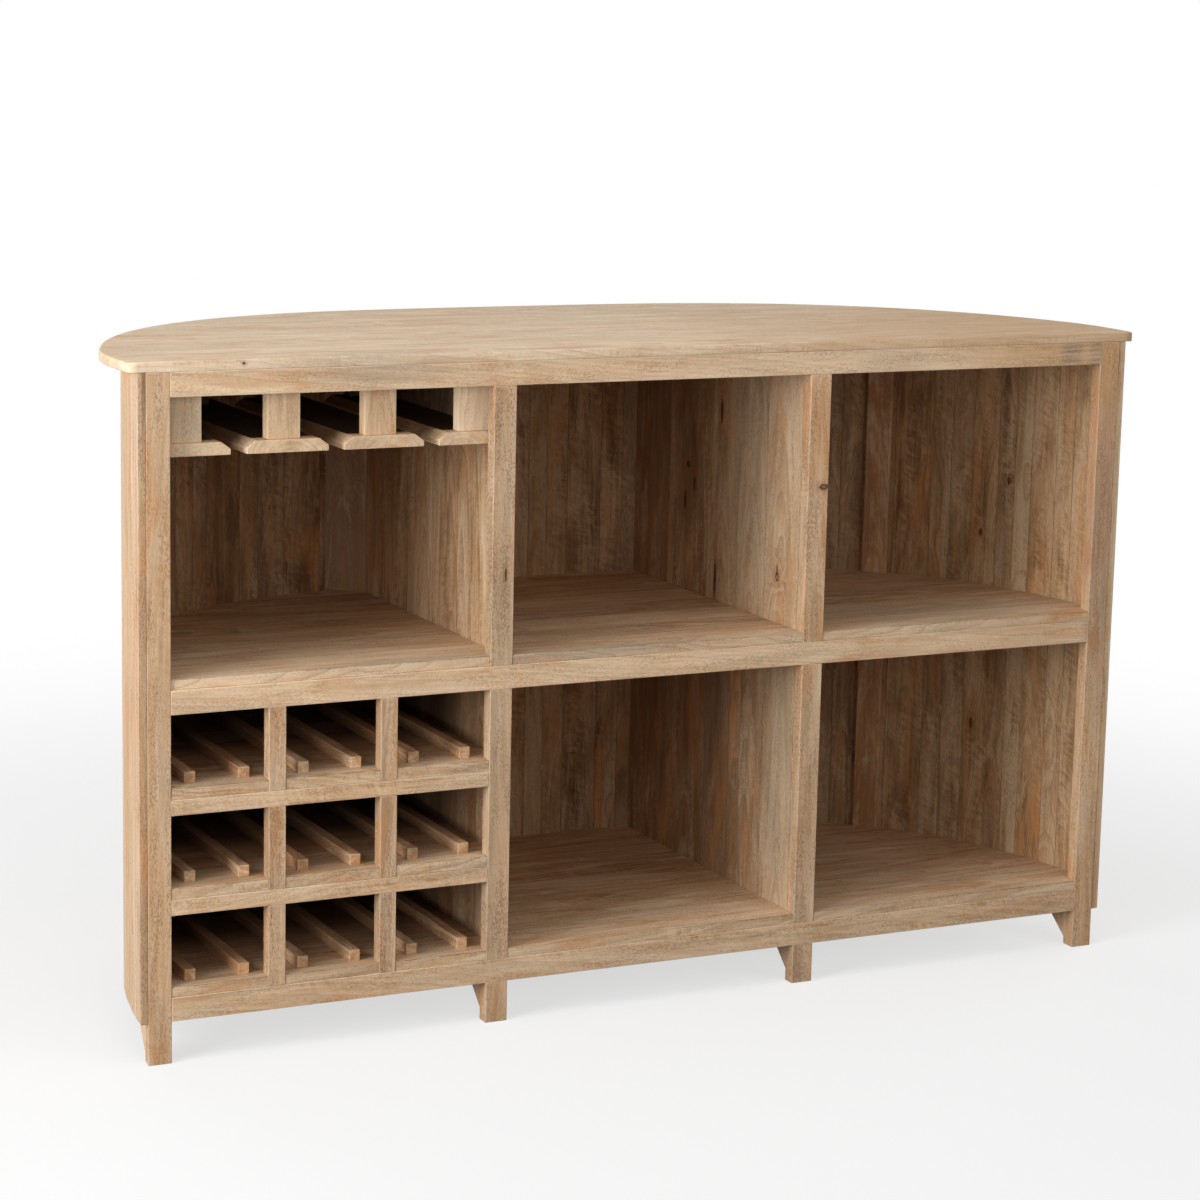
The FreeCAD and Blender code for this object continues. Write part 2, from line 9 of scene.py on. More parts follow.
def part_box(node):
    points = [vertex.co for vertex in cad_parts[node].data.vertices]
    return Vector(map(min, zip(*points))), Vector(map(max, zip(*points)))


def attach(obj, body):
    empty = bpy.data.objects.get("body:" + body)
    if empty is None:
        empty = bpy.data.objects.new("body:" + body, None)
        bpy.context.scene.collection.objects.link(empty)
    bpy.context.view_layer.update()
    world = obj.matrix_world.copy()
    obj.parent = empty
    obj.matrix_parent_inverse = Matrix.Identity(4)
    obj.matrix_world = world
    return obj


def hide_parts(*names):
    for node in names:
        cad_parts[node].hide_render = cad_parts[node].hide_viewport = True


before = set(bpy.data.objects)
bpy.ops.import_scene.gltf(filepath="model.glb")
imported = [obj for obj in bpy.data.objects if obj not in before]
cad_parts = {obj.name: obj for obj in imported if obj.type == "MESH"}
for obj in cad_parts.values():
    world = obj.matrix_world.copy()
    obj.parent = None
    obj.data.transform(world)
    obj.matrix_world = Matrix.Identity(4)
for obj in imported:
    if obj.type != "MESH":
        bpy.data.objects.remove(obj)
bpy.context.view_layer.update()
scene = bpy.context.scene

origin = (0, 0, 0)
alongX, alongY, alongZ = Vector((1, 0, 0)), Vector((0, 1, 0)), Vector((0, 0, 1))
hair = 1e-4  # places closer than this count as one, in metres
weldGap = 1e-5
flatTurn = 0.005  # faces that turn less than this, in radians, are one flat face

# Camera: at the photograph's place and angle

photoCamera = {
    "place": (-2.35767, -4.92473, 1.6371),
    "turn": -26.271,
    "down": 10.493,
    "lean": 1.2695,
    "lens": 97.06,
    "sensor": 36,
    "farLimit": 100,
    "shift": (-0.00837, -0.0034),
}


def addObject(name, data):
    made = bpy.data.objects.new(name, data)
    scene.collection.objects.link(made)
    return made


def makeCamera():
    look = photoCamera
    lensData = bpy.data.cameras.new("photoCamera")
    lensData.lens, lensData.sensor_width = look["lens"], look["sensor"]
    lensData.shift_x, lensData.shift_y = look["shift"]
    lensData.clip_end = look["farLimit"]
    camera = addObject("photoCamera", lensData)
    turn = Matrix.Rotation(math.radians(look["turn"]), 4, "Z")
    down = Matrix.Rotation(math.radians(90 - look["down"]), 4, "X")
    lean = Matrix.Rotation(math.radians(look["lean"]), 4, "Z")
    camera.matrix_world = Matrix.Translation(look["place"]) @ turn @ down @ lean
    scene.camera = camera
    print("camera ready")


# Node helpers: one call places a node, sets it and links what feeds it


def feed(tree, socket, value):
    # Links another node's output, or sets a plain value.
    if isinstance(value, bpy.types.NodeSocket):
        tree.links.new(value, socket)
    else:
        socket.default_value = value


def put(tree, kind, inputs=None, **settings):
    made = tree.nodes.new("ShaderNode" + kind)
    for key, value in settings.items():
        setattr(made, key, value)
    for key, value in (inputs or {}).items():
        feed(tree, made.inputs[key], value)
    return made


def calc(tree, operation, first, second=0.0, third=0.0):
    return put(tree, "Math", {0: first, 1: second, 2: third}, operation=operation).outputs[0]


def times(tree, first, second):
    return calc(tree, "MULTIPLY", first, second)


def addShare(tree, base, value, share):
    # The base plus a share of the value.
    return calc(tree, "MULTIPLY_ADD", value, share, base)


def fade(tree, value, low, high, start=0.0, end=1.0):
    # A smooth step of the value, from start at low to end at high.
    given = {0: value, 1: low, 2: high, 3: start, 4: end}
    return put(tree, "MapRange", given, interpolation_type="SMOOTHSTEP").outputs[0]


def inkOf(red, green, blue):
    # A colour as it shows, 0 to 255, to the shader's linear values.
    parts = []
    for level in (red, green, blue):
        level /= 255
        parts.append(level / 12.92 if level <= 0.04045 else ((level + 0.055) / 1.055) ** 2.4)
    return (*parts, 1.0)


def blend(tree, amount, first, second):
    # Blends two colours, each a node's output or three plain numbers.
    mix = put(tree, "Mix", {"Factor": amount}, data_type="RGBA")
    for slot, colour in ((6, first), (7, second)):
        feed(tree, mix.inputs[slot], inkOf(*colour) if isinstance(colour, tuple) else colour)
    return mix.outputs[2]


def partsOf(tree, vector):
    return put(tree, "SeparateXYZ", {0: vector}).outputs


def stretched(tree, parts, along, across):
    # The place in the board, with its three parts scaled for a pattern.
    spot = {0: along, 1: times(tree, parts[1], across), 2: times(tree, parts[2], across)}
    return put(tree, "CombineXYZ", spot).outputs[0]


def cloudAt(tree, spot, detail, roughness=0.5, scale=1.0, distortion=0.0):
    given = {"Vector": spot, "Scale": scale, "Detail": detail, "Roughness": roughness}
    return put(tree, "TexNoise", {**given, "Distortion": distortion}).outputs


def newGroup(name, inputs, outputs):
    # An input of three numbers is a vector. All the other sockets are plain values.
    group = bpy.data.node_groups.new(name, "ShaderNodeTree")
    for label, value in inputs.items():
        kind = "NodeSocketVector" if isinstance(value, tuple) else "NodeSocketFloat"
        socket = group.interface.new_socket(name=label, in_out="INPUT", socket_type=kind)
        socket.default_value = value
    for label in outputs:
        group.interface.new_socket(name=label, in_out="OUTPUT", socket_type="NodeSocketFloat")
    source = group.nodes.new("NodeGroupInput")
    result = group.nodes.new("NodeGroupOutput")
    return group, source.outputs, result.inputs


def placeGroup(tree, group, inputs):
    made = tree.nodes.new("ShaderNodeGroup")
    made.node_tree = group
    for key, value in inputs.items():
        feed(tree, made.inputs[key], value)
    return made.outputs


# Shared effects of the limed wood. Place is the point in its own board, in metres:
# along the grain, across it and through the board, with the heart of the log at 0, 0.


def makeGrainFigure():
    # Growth rings round the heart, which wander, taper and are pushed aside by knots.
    sizes = {"Ring Size": 0.008, "Wander": 0.02, "Wander Length": 0.35, "Taper": 0.04}
    inputs = {"Place": origin, **sizes, "Push": 0.0}
    group, given, result = newGroup("grainFigure", inputs, ["Rings", "Lines"])
    parts = partsOf(group, given["Place"])
    along = calc(group, "DIVIDE", parts[0], given["Wander Length"])
    drift = cloudAt(group, stretched(group, parts, along, 9.0), 3.0)
    shift = partsOf(group, drift["Color"])
    swayed = []
    for k in (1, 2):
        lean = calc(group, "SUBTRACT", shift[k - 1], 0.5)
        swayed.append(addShare(group, parts[k], lean, given["Wander"]))
    square = times(group, swayed[0], swayed[0])
    reach = calc(group, "SQRT", addShare(group, square, swayed[1], swayed[1]))
    reach = addShare(group, reach, parts[0], given["Taper"])
    phase = calc(group, "ADD", calc(group, "DIVIDE", reach, given["Ring Size"]), given["Push"])
    ring = put(group, "TexNoise", {"W": phase, "Scale": 1.0, "Detail": 2.0}, noise_dimensions="1D")
    feed(group, result["Rings"], fade(group, ring.outputs["Fac"], 0.22, 0.78))
    faint = put(group, "TexNoise", {"W": phase, "Scale": 0.7, "Detail": 1.0}, noise_dimensions="1D")
    thin = calc(group, "POWER", calc(group, "FRACT", phase), 4.0)
    lines = times(group, thin, fade(group, faint.outputs["Fac"], 0.35, 0.6))
    feed(group, result["Lines"], lines)
    return group


def makeFibreStreaks():
    # Broad bands, streaks and fine fuzz along the grain, and a hue that goes with the bands.
    inputs = {"Place": origin, "Along": 9.0, "Across": 240.0}
    group, given, result = newGroup("fibreStreaks", inputs, ["Bands", "Hue", "Streaks", "Fuzz"])
    parts = partsOf(group, given["Place"])
    scales = (("Bands", 0.4, 0.28, 3.0), ("Streaks", 1.0, 1.0, 4.0), ("Fuzz", 9.0, 2.6, 2.0))
    for label, lengthwise, sideways, detail in scales:
        along = times(group, parts[0], times(group, given["Along"], lengthwise))
        spot = stretched(group, parts, along, times(group, given["Across"], sideways))
        cloud = cloudAt(group, spot, detail, 0.6)
        feed(group, result[label], fade(group, cloud["Fac"], 0.25, 0.75))
        if label == "Bands":
            shift = partsOf(group, cloud["Color"])
            feed(group, result["Hue"], fade(group, shift[1], 0.3, 0.7))
    return group


def makeCurlFigure():
    # The short cross waves that catch the light in mottled wood.
    inputs = {"Place": origin, "Along": 120.0, "Across": 34.0}
    group, given, result = newGroup("curlFigure", inputs, ["Curl"])
    parts = partsOf(group, given["Place"])
    slant = addShare(group, parts[0], parts[1], 0.4)
    spot = stretched(group, parts, times(group, slant, given["Along"]), given["Across"])
    waves = cloudAt(group, spot, 3.0, 0.55, distortion=0.9)
    patch = cloudAt(group, stretched(group, parts, times(group, parts[0], 7.0), 24.0), 1.0)
    strength = fade(group, patch["Fac"], 0.35, 0.65)
    wave = calc(group, "SUBTRACT", fade(group, waves["Fac"], 0.3, 0.7), 0.5)
    feed(group, result["Curl"], times(group, wave, strength))
    return group


def makeOpenPores():
    # Short dots along the grain, crowded in some places and sparse in others.
    inputs = {"Place": origin, "Along": 170.0, "Across": 640.0, "Share": 0.5}
    group, given, result = newGroup("openPores", inputs, ["Pores"])
    parts = partsOf(group, given["Place"])
    spot = stretched(group, parts, times(group, parts[0], given["Along"]), given["Across"])
    cells = put(group, "TexVoronoi", {"Vector": spot, "Scale": 1.0, "Randomness": 1.0})
    crowd = cloudAt(group, stretched(group, parts, times(group, parts[0], 9.0), 60.0), 3.0)
    size = times(group, fade(group, crowd["Fac"], 0.3, 0.7, 0.35, 1.0), given["Share"])
    dot = calc(group, "SUBTRACT", size, cells.outputs["Distance"])
    feed(group, result["Pores"], fade(group, dot, -0.08, 0.16))
    return group


def makeToneBlotches():
    # Soft clouds for the shade, for grey and ochre tints, and for patches of ochre.
    inputs = {"Place": origin, "Along": 5.0, "Across": 20.0}
    group, given, result = newGroup("toneBlotches", inputs, ["Shade", "Tint", "Patch"])
    parts = partsOf(group, given["Place"])
    clouds = (("Shade", 0.0, 0.28, 0.72), ("Tint", 17.0, 0.35, 0.65), ("Patch", 41.0, 0.52, 0.7))
    for label, start, low, high in clouds:
        along = addShare(group, start, parts[0], given["Along"])
        spot = stretched(group, parts, along, given["Across"])
        cloud = cloudAt(group, spot, 4.0, 0.55, distortion=0.7)
        feed(group, result[label], fade(group, cloud["Fac"], low, high))
    return group


def makeKnotMark():
    # A knot or a stain: Core is its dark middle, Halo fades round it, and Push bends the rings.
    inputs = {"Spot": origin, "Centre": origin, "Reach": (100, 100, 60), "Push": 0.0, "Hollow": 0.0}
    group, given, result = newGroup("knotMark", inputs, ["Core", "Halo", "Push"])
    gap = put(group, "VectorMath", {0: given["Spot"], 1: given["Centre"]}, operation="SUBTRACT").outputs[0]
    scaled = put(group, "VectorMath", {0: gap, 1: given["Reach"]}, operation="MULTIPLY").outputs[0]
    span = put(group, "VectorMath", {0: scaled}, operation="LENGTH").outputs["Value"]
    rough = cloudAt(group, given["Spot"], 2.0, scale=190.0)["Fac"]
    ragged = addShare(group, span, calc(group, "SUBTRACT", rough, 0.5), 0.9)
    eye = times(group, fade(group, ragged, 0.25, 0.55, 1.0, 0.0), given["Hollow"])
    core = fade(group, ragged, 0.75, 1.1, 1.0, 0.0)
    feed(group, result["Core"], times(group, core, calc(group, "SUBTRACT", 1.0, eye)))
    feed(group, result["Halo"], fade(group, ragged, 0.8, 3.2, 1.0, 0.0))
    near = calc(group, "EXPONENT", times(group, times(group, span, span), -0.16))
    feed(group, result["Push"], times(group, near, given["Push"]))
    return group


def makeEdgeWear():
    inputs = {"Place": origin, "Rim": 0.0, "Amount": 0.6}
    group, given, result = newGroup("edgeWear", inputs, ["Wear"])
    cloud = cloudAt(group, given["Place"], 4.0, 0.65, 34.0)
    patchy = fade(group, cloud["Fac"], 0.35, 0.62, 0.25, 1.0)
    feed(group, result["Wear"], times(group, times(group, patchy, given["Rim"]), given["Amount"]))
    return group


effects = {
    "figure": makeGrainFigure(),
    "streaks": makeFibreStreaks(),
    "curl": makeCurlFigure(),
    "pores": makeOpenPores(),
    "blotches": makeToneBlotches(),
    "knot": makeKnotMark(),
    "wear": makeEdgeWear(),
}

# What the limed finishes share, and what each changes. Shares say how much an effect
# counts, and ranges where it starts and ends. A knot is its centre, one over its half
# widths, how far it pushes the rings aside, and how hollow it is. A stain has a colour
# and a share instead; some stains are painted shade or painted light, not marks in the
# wood. The stain fade is the shade of board at which they end.

limedWood = {
    "pale": (245, 213, 175),
    "mid": (230, 191, 150),
    "deep": (170, 124, 84),
    "grey": (176, 154, 126),
    "ochre": (210, 146, 88),
    "bloom": (244, 226, 202),
    "poreInk": (112, 80, 54),
    "knotInk": (54, 34, 22),
    "halo": (158, 98, 56),
    "ringSize": 0.0065,
    "wander": 0.036,
    "wanderLength": 0.24,
    "taper": 0.09,
    "toneBase": 0.0,
    "ringsShare": 0.36,
    "streaksShare": 0.30,
    "fuzzShare": 0.18,
    "shadeShare": 0.30,
    "curlShare": 0.34,
    "boardShare": 0.45,
    "lineInk": 0.36,
    "warmLines": 0.24,
    "poreShare": 0.52,
    "poreDepth": 0.42,
    "greyShare": 0.22,
    "ochreShare": 0.40,
    "bloomShare": 0.30,
    "wearShare": 0.25,
    "wearInk": (244, 226, 202),
    "bandShare": 0.34,
    "warmBands": 0.34,
    "greyBands": 0.24,
    # Painted shade: the near-black that a very low board shade turns to, in recesses and under the top.
    "raw": (44, 30, 20),
    "knots": [],
    "stainsAndPaintedLight": [],
    "stainAndPaintedLightFade": (0.8, 1.2),
    "midRange": (0.0, 0.55),
    "paleRange": (0.35, 1.0),
    # The next range pales very high board shades toward the bloom: the outer wall faces, and painted light
    # on the end hanger blocks. The range after it turns very low board shades to the near-black painted
    # shade.
    "liftRange": (0.7, 1.7),
    "paintedShadeRange": (-2.2, -0.9),
    "tintLimit": 0.8,
    "roughness": (0.52, 0.16),
    "gloss": 0.3,
    "bump": {"Strength": 0.35, "Distance": 0.0006},
}

greyStain = (136, 126, 112)
# Painted shade for the dark under the top, above the stemware slats.
paintedShadePatch = (44, 30, 20)
seamInk = (66, 44, 28)

finishes = {
    "limed_top": {
        "pale": (252, 234, 206),
        "mid": (243, 214, 178),
        "deep": (194, 154, 112),
        "ringsShare": 0.20,
        "wander": 0.024,
        "grey": (206, 186, 160),
        "bandShare": 0.22,
        "warmBands": 0.26,
        "greyBands": 0.12,
        "streaksShare": 0.46,
        "fuzzShare": 0.30,
        "curlShare": 0.45,
        "lineInk": 0.40,
        "poreDepth": 0.34,
        "ochreShare": 0.20,
        "bloomShare": 0.26,
        "stainsAndPaintedLight": [
            ((-0.50, -0.340, 1.082), (14, 30, 130), greyStain, 0.3),
            ((0.90, -0.300, 1.084), (3.2, 4.0, 40), (206, 164, 118), 0.95),
        ],
        "knots": [((-0.716, -0.340, 1.084), (400, 50, 400), 0.6, 0.0)],
    },
    "limed_wall": {
        "wearShare": 0.75,
        "wearInk": seamInk,
        # The darker palette is partly the wall's own browner wood and partly painted shade inside the
        # bays.
        "pale": (214, 179, 136),
        "mid": (172, 134, 90),
        "deep": (96, 66, 38),
        "warmBands": 0.13,
        "greyBands": 0.14,
        "toneBase": -0.06,
        "ringsShare": 0.28,
        "shadeShare": 0.46,
        "curlShare": 0.46,
        "boardShare": 0.60,
        "lineInk": 0.34,
        "ochreShare": 0.34,
        "wander": 0.05,
        "taper": 0.05,
        # Painted shade for the dark under the top, above the stemware slats.
        "stainsAndPaintedLight": [((-0.567, 0.150, 1.060), (3, 3.5, 16), paintedShadePatch, 0.92)],
        "stainAndPaintedLightFade": (0.52, 0.66),
        "knotInk": (86, 58, 38),
        "knots": [
            ((0.7976, -0.040, 0.700), (230, 230, 150), 2.6, 0.0),
            ((0.8180, -0.094, 0.800), (250, 250, 130), 2.0, 0.0),
            ((0.7965, -0.037, 0.345), (230, 230, 90), 2.4, 0.0),
        ],
    },
    "limed_boards": {
        "wearShare": 0.75,
        "wearInk": seamInk,
        "mid": (214, 176, 137),
        "deep": (152, 110, 74),
        "shadeShare": 0.38,
        "toneBase": -0.02,
        "boardShare": 0.75,
        "lineInk": 0.44,
        "stainsAndPaintedLight": [
            ((-0.13, -0.340, 0.598), (12, 60, 130), greyStain, 0.6),
            ((0.60, -0.250, 0.605), (10, 22, 60), greyStain, 0.5),
            ((-0.42, -0.325, 0.600), (14, 60, 130), greyStain, 0.5),
        ],
    },
    "limed_dividers": {
        "wearShare": 0.75,
        "wearInk": seamInk,
        "pale": (228, 198, 160),
        "mid": (194, 158, 118),
        "deep": (126, 91, 57),
        "warmBands": 0.24,
        "toneBase": -0.04,
        "boardShare": 0.55,
        "shadeShare": 0.40,
        "lineInk": 0.46,
        "stainsAndPaintedLight": [
            ((0.2647, -0.130, 0.880), (30, 28, 11), greyStain, 0.5),
            ((0.2647, 0.085, 0.890), (30, 34, 13), (96, 66, 42), 0.8),
            ((0.2647, -0.270, 0.350), (30, 34, 9), greyStain, 0.5),
            # Painted shade for the dark under the top, above the stemware slats.
            ((-0.2647, 0.150, 1.060), (4, 5, 16), paintedShadePatch, 0.92),
        ],
        "knots": [
            ((0.2647, -0.245, 0.684), (30, 150, 118), 2.2, 0.75),
            ((0.2647, -0.244, 0.695), (30, 420, 90), 0.0, 0.0),
            ((0.2647, -0.033, 0.938), (30, 220, 44), 0.8, 0.0),
            ((0.2647, -0.023, 0.643), (30, 220, 28), 0.8, 0.0),
            ((0.2647, 0.086, 0.830), (30, 110, 150), 1.8, 0.0),
            ((0.2647, 0.096, 0.765), (30, 220, 55), 0.8, 0.0),
            ((0.2647, 0.062, 0.800), (30, 240, 70), 0.8, 0.0),
        ],
    },
    "limed_inner_pieces": {
        "pale": (244, 215, 178),
        "mid": (228, 192, 152),
        "toneBase": 0.06,
        "curlShare": 0.20,
        # Painted light on the left end hanger block, which the left post shades; the fade below lets it
        # reach that block's high shade.
        "stainsAndPaintedLight": [((-0.810, -0.306, 1.000), (14, 30, 10), (255, 226, 186), 0.7)],
        "stainAndPaintedLightFade": (2.0, 3.0),
    },
    "limed_frame": {
        "ringsShare": 0.20,
        "shadeShare": 0.28,
        "toneBase": 0.13,
        "wander": 0.022,
        "lineInk": 0.30,
        "poreDepth": 0.55,
        "stainsAndPaintedLight": [
            ((-0.50, -0.340, 1.070), (16, 40, 90), greyStain, 0.5),
            ((0.42, -0.340, 1.050), (30, 40, 70), greyStain, 0.5),
            ((0.838, -0.340, 0.920), (75, 40, 8), (194, 126, 80), 0.5),
            ((0.580, -0.340, 1.055), (5, 40, 40), (252, 222, 186), 0.6),
            ((0.858, -0.340, 0.700), (60, 40, 9), greyStain, 0.5),
            ((0.86, -0.340, 1.060), (8, 40, 26), (200, 148, 92), 0.85),
            ((0.775, -0.340, 1.056), (95, 40, 24), greyStain, 0.7),
            ((0.822, -0.340, 1.052), (130, 40, 34), greyStain, 0.6),
        ],
        "knots": [
            ((0.2945, -0.340, 0.849), (115, 40, 190), 1.8, 0.4),
            ((-0.279, -0.340, 0.735), (480, 40, 95), 0.8, 0.0),
        ],
    },
}


def placeKnots(tree, spot, knots):
    push, core, halo = 0.0, 0.0, 0.0
    for centre, reach, strength, hollow in knots:
        given = {"Spot": spot, "Centre": centre, "Reach": reach, "Push": strength, "Hollow": hollow}
        knot = placeGroup(tree, effects["knot"], given)
        push = calc(tree, "ADD", push, knot["Push"])
        core = calc(tree, "MAXIMUM", core, knot["Core"])
        halo = calc(tree, "MAXIMUM", halo, knot["Halo"])
    return push, core, halo


def woodColour(tree, look, board, found):
    # The bare wood: its tone from deep to pale, then grey, ochre and the lime's bloom.
    shade, grey, ochre = board
    tone = look["toneBase"]
    bands = calc(tree, "SUBTRACT", found["Bands"], 0.5)
    for label in ("Rings", "Streaks", "Fuzz", "Shade", "Curl"):
        tone = addShare(tree, tone, found[label], look[label.lower() + "Share"])
    tone = addShare(tree, tone, bands, look["bandShare"])
    tone = addShare(tree, tone, shade, look["boardShare"])
    colour = blend(tree, fade(tree, tone, *look["midRange"]), look["deep"], look["mid"])
    colour = blend(tree, fade(tree, tone, *look["paleRange"]), colour, look["pale"])
    greyness = addShare(tree, grey, found["Tint"], look["greyShare"])
    greyness = calc(tree, "ADD", greyness, fade(tree, found["Hue"], 0.0, 0.45, look["greyBands"], 0.0))
    colour = blend(tree, calc(tree, "MINIMUM", greyness, look["tintLimit"]), colour, look["grey"])
    warmth = times(tree, found["Patch"], calc(tree, "ADD", ochre, look["ochreShare"]))
    warmth = addShare(tree, warmth, ochre, 0.30)
    warmHue = fade(tree, found["Hue"], 0.55, 1.0, 0.0, look["warmBands"])
    warmth = addShare(tree, warmth, warmHue, addShare(tree, 0.6, ochre, 2.0))
    warmRings = times(tree, fade(tree, found["Rings"], 0.75, 0.35), found["Tint"])
    warmth = addShare(tree, warmth, warmRings, look["warmLines"])
    colour = blend(tree, calc(tree, "MINIMUM", warmth, look["tintLimit"]), colour, look["ochre"])
    bloom = times(tree, times(tree, found["Fuzz"], found["Shade"]), look["bloomShare"])
    # Very high board shades pale toward the bloom: the outer wall faces, and painted light on the end
    # hanger blocks.
    streaky = addShare(tree, 0.1, found["Bands"], 0.8)
    bloom = calc(tree, "ADD", bloom, times(tree, fade(tree, shade, *look["liftRange"]), streaky))
    return blend(tree, bloom, colour, look["bloom"])


def addMarks(tree, look, board, found, spot, colour):
    # Over the bare wood: ring lines, stains (some of them painted shade or painted light),
    # pores, worn or dark edges, and near-black painted shade where the board shade is very low.
    shade, grey = board[0], board[1]
    colour = blend(tree, times(tree, found["Lines"], look["lineInk"]), colour, look["deep"])
    uneven = addShare(tree, 0.3, found["Streaks"], 0.7)
    uneven = times(tree, uneven, fade(tree, shade, *look["stainAndPaintedLightFade"], 1.0, 0.0))
    # Some stains are painted shade or painted light.
    for centre, reach, ink, share in look["stainsAndPaintedLight"]:
        given = {"Spot": spot, "Centre": centre, "Reach": reach}
        spread = placeGroup(tree, effects["knot"], given)["Halo"]
        colour = blend(tree, times(tree, spread, times(tree, uneven, share)), colour, ink)
    stipple = times(tree, found["Pores"], addShare(tree, 0.55, grey, 1.2))
    colour = blend(tree, times(tree, stipple, look["poreDepth"]), colour, look["poreInk"])
    colour = blend(tree, found["Wear"], colour, look["wearInk"])
    # Painted shade: very low board shades turn near-black.
    return blend(tree, fade(tree, shade, *look["paintedShadeRange"], 0.96, 0.0), colour, look["raw"])


def makeFinish(slot):
    look = {**limedWood, **finishes[slot]}
    words = slot.split("_")
    material = bpy.data.materials.new(words[0] + "".join(word.capitalize() for word in words[1:]))
    material.use_nodes = True
    tree = material.node_tree
    shader = tree.nodes["Principled BSDF"]
    spot = put(tree, "TexCoord").outputs["Object"]
    place = put(tree, "Attribute", attribute_name="grainPlace").outputs["Vector"]
    # The board's tone, with painted shade and painted light added to it.
    board = partsOf(tree, put(tree, "Attribute", attribute_name="boardTone").outputs["Vector"])
    rim = put(tree, "Attribute", attribute_name="rimWear").outputs["Fac"]
    push, core, halo = placeKnots(tree, spot, look["knots"])
    shape = {"Ring Size": look["ringSize"], "Wander": look["wander"], "Taper": look["taper"]}
    needs = {
        "figure": {"Push": push, "Wander Length": look["wanderLength"], **shape},
        "streaks": {},
        "curl": {},
        "pores": {"Share": look["poreShare"]},
        "blotches": {},
        "wear": {"Rim": rim, "Amount": look["wearShare"]},
    }
    found = {}
    for effect, values in needs.items():
        for socket in placeGroup(tree, effects[effect], {"Place": place, **values}):
            found[socket.name] = socket
    colour = woodColour(tree, look, board, found)
    colour = addMarks(tree, look, board, found, spot, colour)
    if look["knots"]:
        colour = blend(tree, times(tree, halo, 0.4), colour, look["halo"])
        colour = blend(tree, times(tree, core, 0.88), colour, look["knotInk"])
    feed(tree, shader.inputs["Base Color"], colour)
    plain, dry = look["roughness"]
    matt = addShare(tree, plain, found["Streaks"], dry)
    matt = addShare(tree, matt, found["Pores"], 0.12)
    feed(tree, shader.inputs["Roughness"], matt)
    shader.inputs["Specular IOR Level"].default_value = look["gloss"]
    height = addShare(tree, times(tree, found["Rings"], 0.35), found["Fuzz"], 0.5)
    height = addShare(tree, height, found["Pores"], -0.8)
    bump = put(tree, "Bump", {"Height": height, **look["bump"]})
    feed(tree, shader.inputs["Normal"], bump.outputs[0])
    return material


materials = {slot: makeFinish(slot) for slot in finishes}
print("finishes ready:", len(materials))

# Boards: every piece is made of boards, each with its own grain, tone and eased edges

boardMaking = {
    "leastPlank": 0.012,
    "heartAside": (-0.03, 0.03),
    "heartBelow": (0.012, 0.045),
    "startAlong": (1, 30),
    "greySpread": 0.5,
    "ochreSpread": 0.6,
    "sharpTurn": 0.35,
    "easeProfile": 0.6,
    "easeSegments": 2,
}


def slotOf(node):
    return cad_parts[node].data.materials[0].name.split(".")[0]


def nodesIn(*slots):
    return sorted(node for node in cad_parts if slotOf(node) in slots)


def cadSolids(node):
    # The flat-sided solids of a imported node, one bmesh for each.
    whole = bmesh.new()
    whole.from_mesh(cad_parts[node].data)
    bmesh.ops.remove_doubles(whole, verts=whole.verts, dist=weldGap)
    bmesh.ops.dissolve_limit(whole, angle_limit=flatTurn, verts=whole.verts, edges=whole.edges)
    solids = []
    left = set(whole.verts)
    while left:
        stack, island = [left.pop()], set()
        while stack:
            vert = stack.pop()
            island.add(vert)
            for edge in vert.link_edges:
                other = edge.other_vert(vert)
                if other in left:
                    left.discard(other)
                    stack.append(other)
        solid = bmesh.new()
        spots = {vert: solid.verts.new(vert.co) for vert in sorted(island, key=lambda vert: vert.index)}
        faces = {face for vert in island for face in vert.link_faces}
        for face in sorted(faces, key=lambda face: face.index):
            solid.faces.new([spots[vert] for vert in face.verts])
        solids.append(solid)
    whole.free()
    return sorted(solids, key=lambda solid: [round(part, 4) for part in middleOf(solid)])


def middleOf(solid):
    return sum((vert.co for vert in solid.verts), Vector()) / len(solid.verts)


def reachOf(solid, axis):
    spots = [vert.co.dot(axis) for vert in solid.verts]
    return min(spots), max(spots)


def cutAt(solid, spot, normal, **keeping):
    # Cuts the solid's faces by a plane, and gives the edges that lie in it.
    geometry = solid.verts[:] + solid.edges[:] + solid.faces[:]
    cut = bmesh.ops.bisect_plane(solid, geom=geometry, plane_co=spot, plane_no=normal, **keeping)
    return [item for item in cut["geom_cut"] if item.is_valid and isinstance(item, bmesh.types.BMEdge)]


def cutPlanks(solid, axis, cuts):
    # The solid as planks, parted by flat cuts across the axis.
    low, high = reachOf(solid, axis)
    least = boardMaking["leastPlank"]
    lines = [low - 1] + [cut for cut in cuts if low + least < cut < high - least] + [high + 1]
    planks = []
    for start, end in zip(lines, lines[1:]):
        plank = solid.copy()
        for line, keepAbove in ((start, True), (end, False)):
            rim = cutAt(plank, axis * line, axis, clear_inner=keepAbove, clear_outer=not keepAbove)
            if rim:
                bmesh.ops.holes_fill(plank, edges=rim, sides=0)
        planks.append(plank)
    return planks


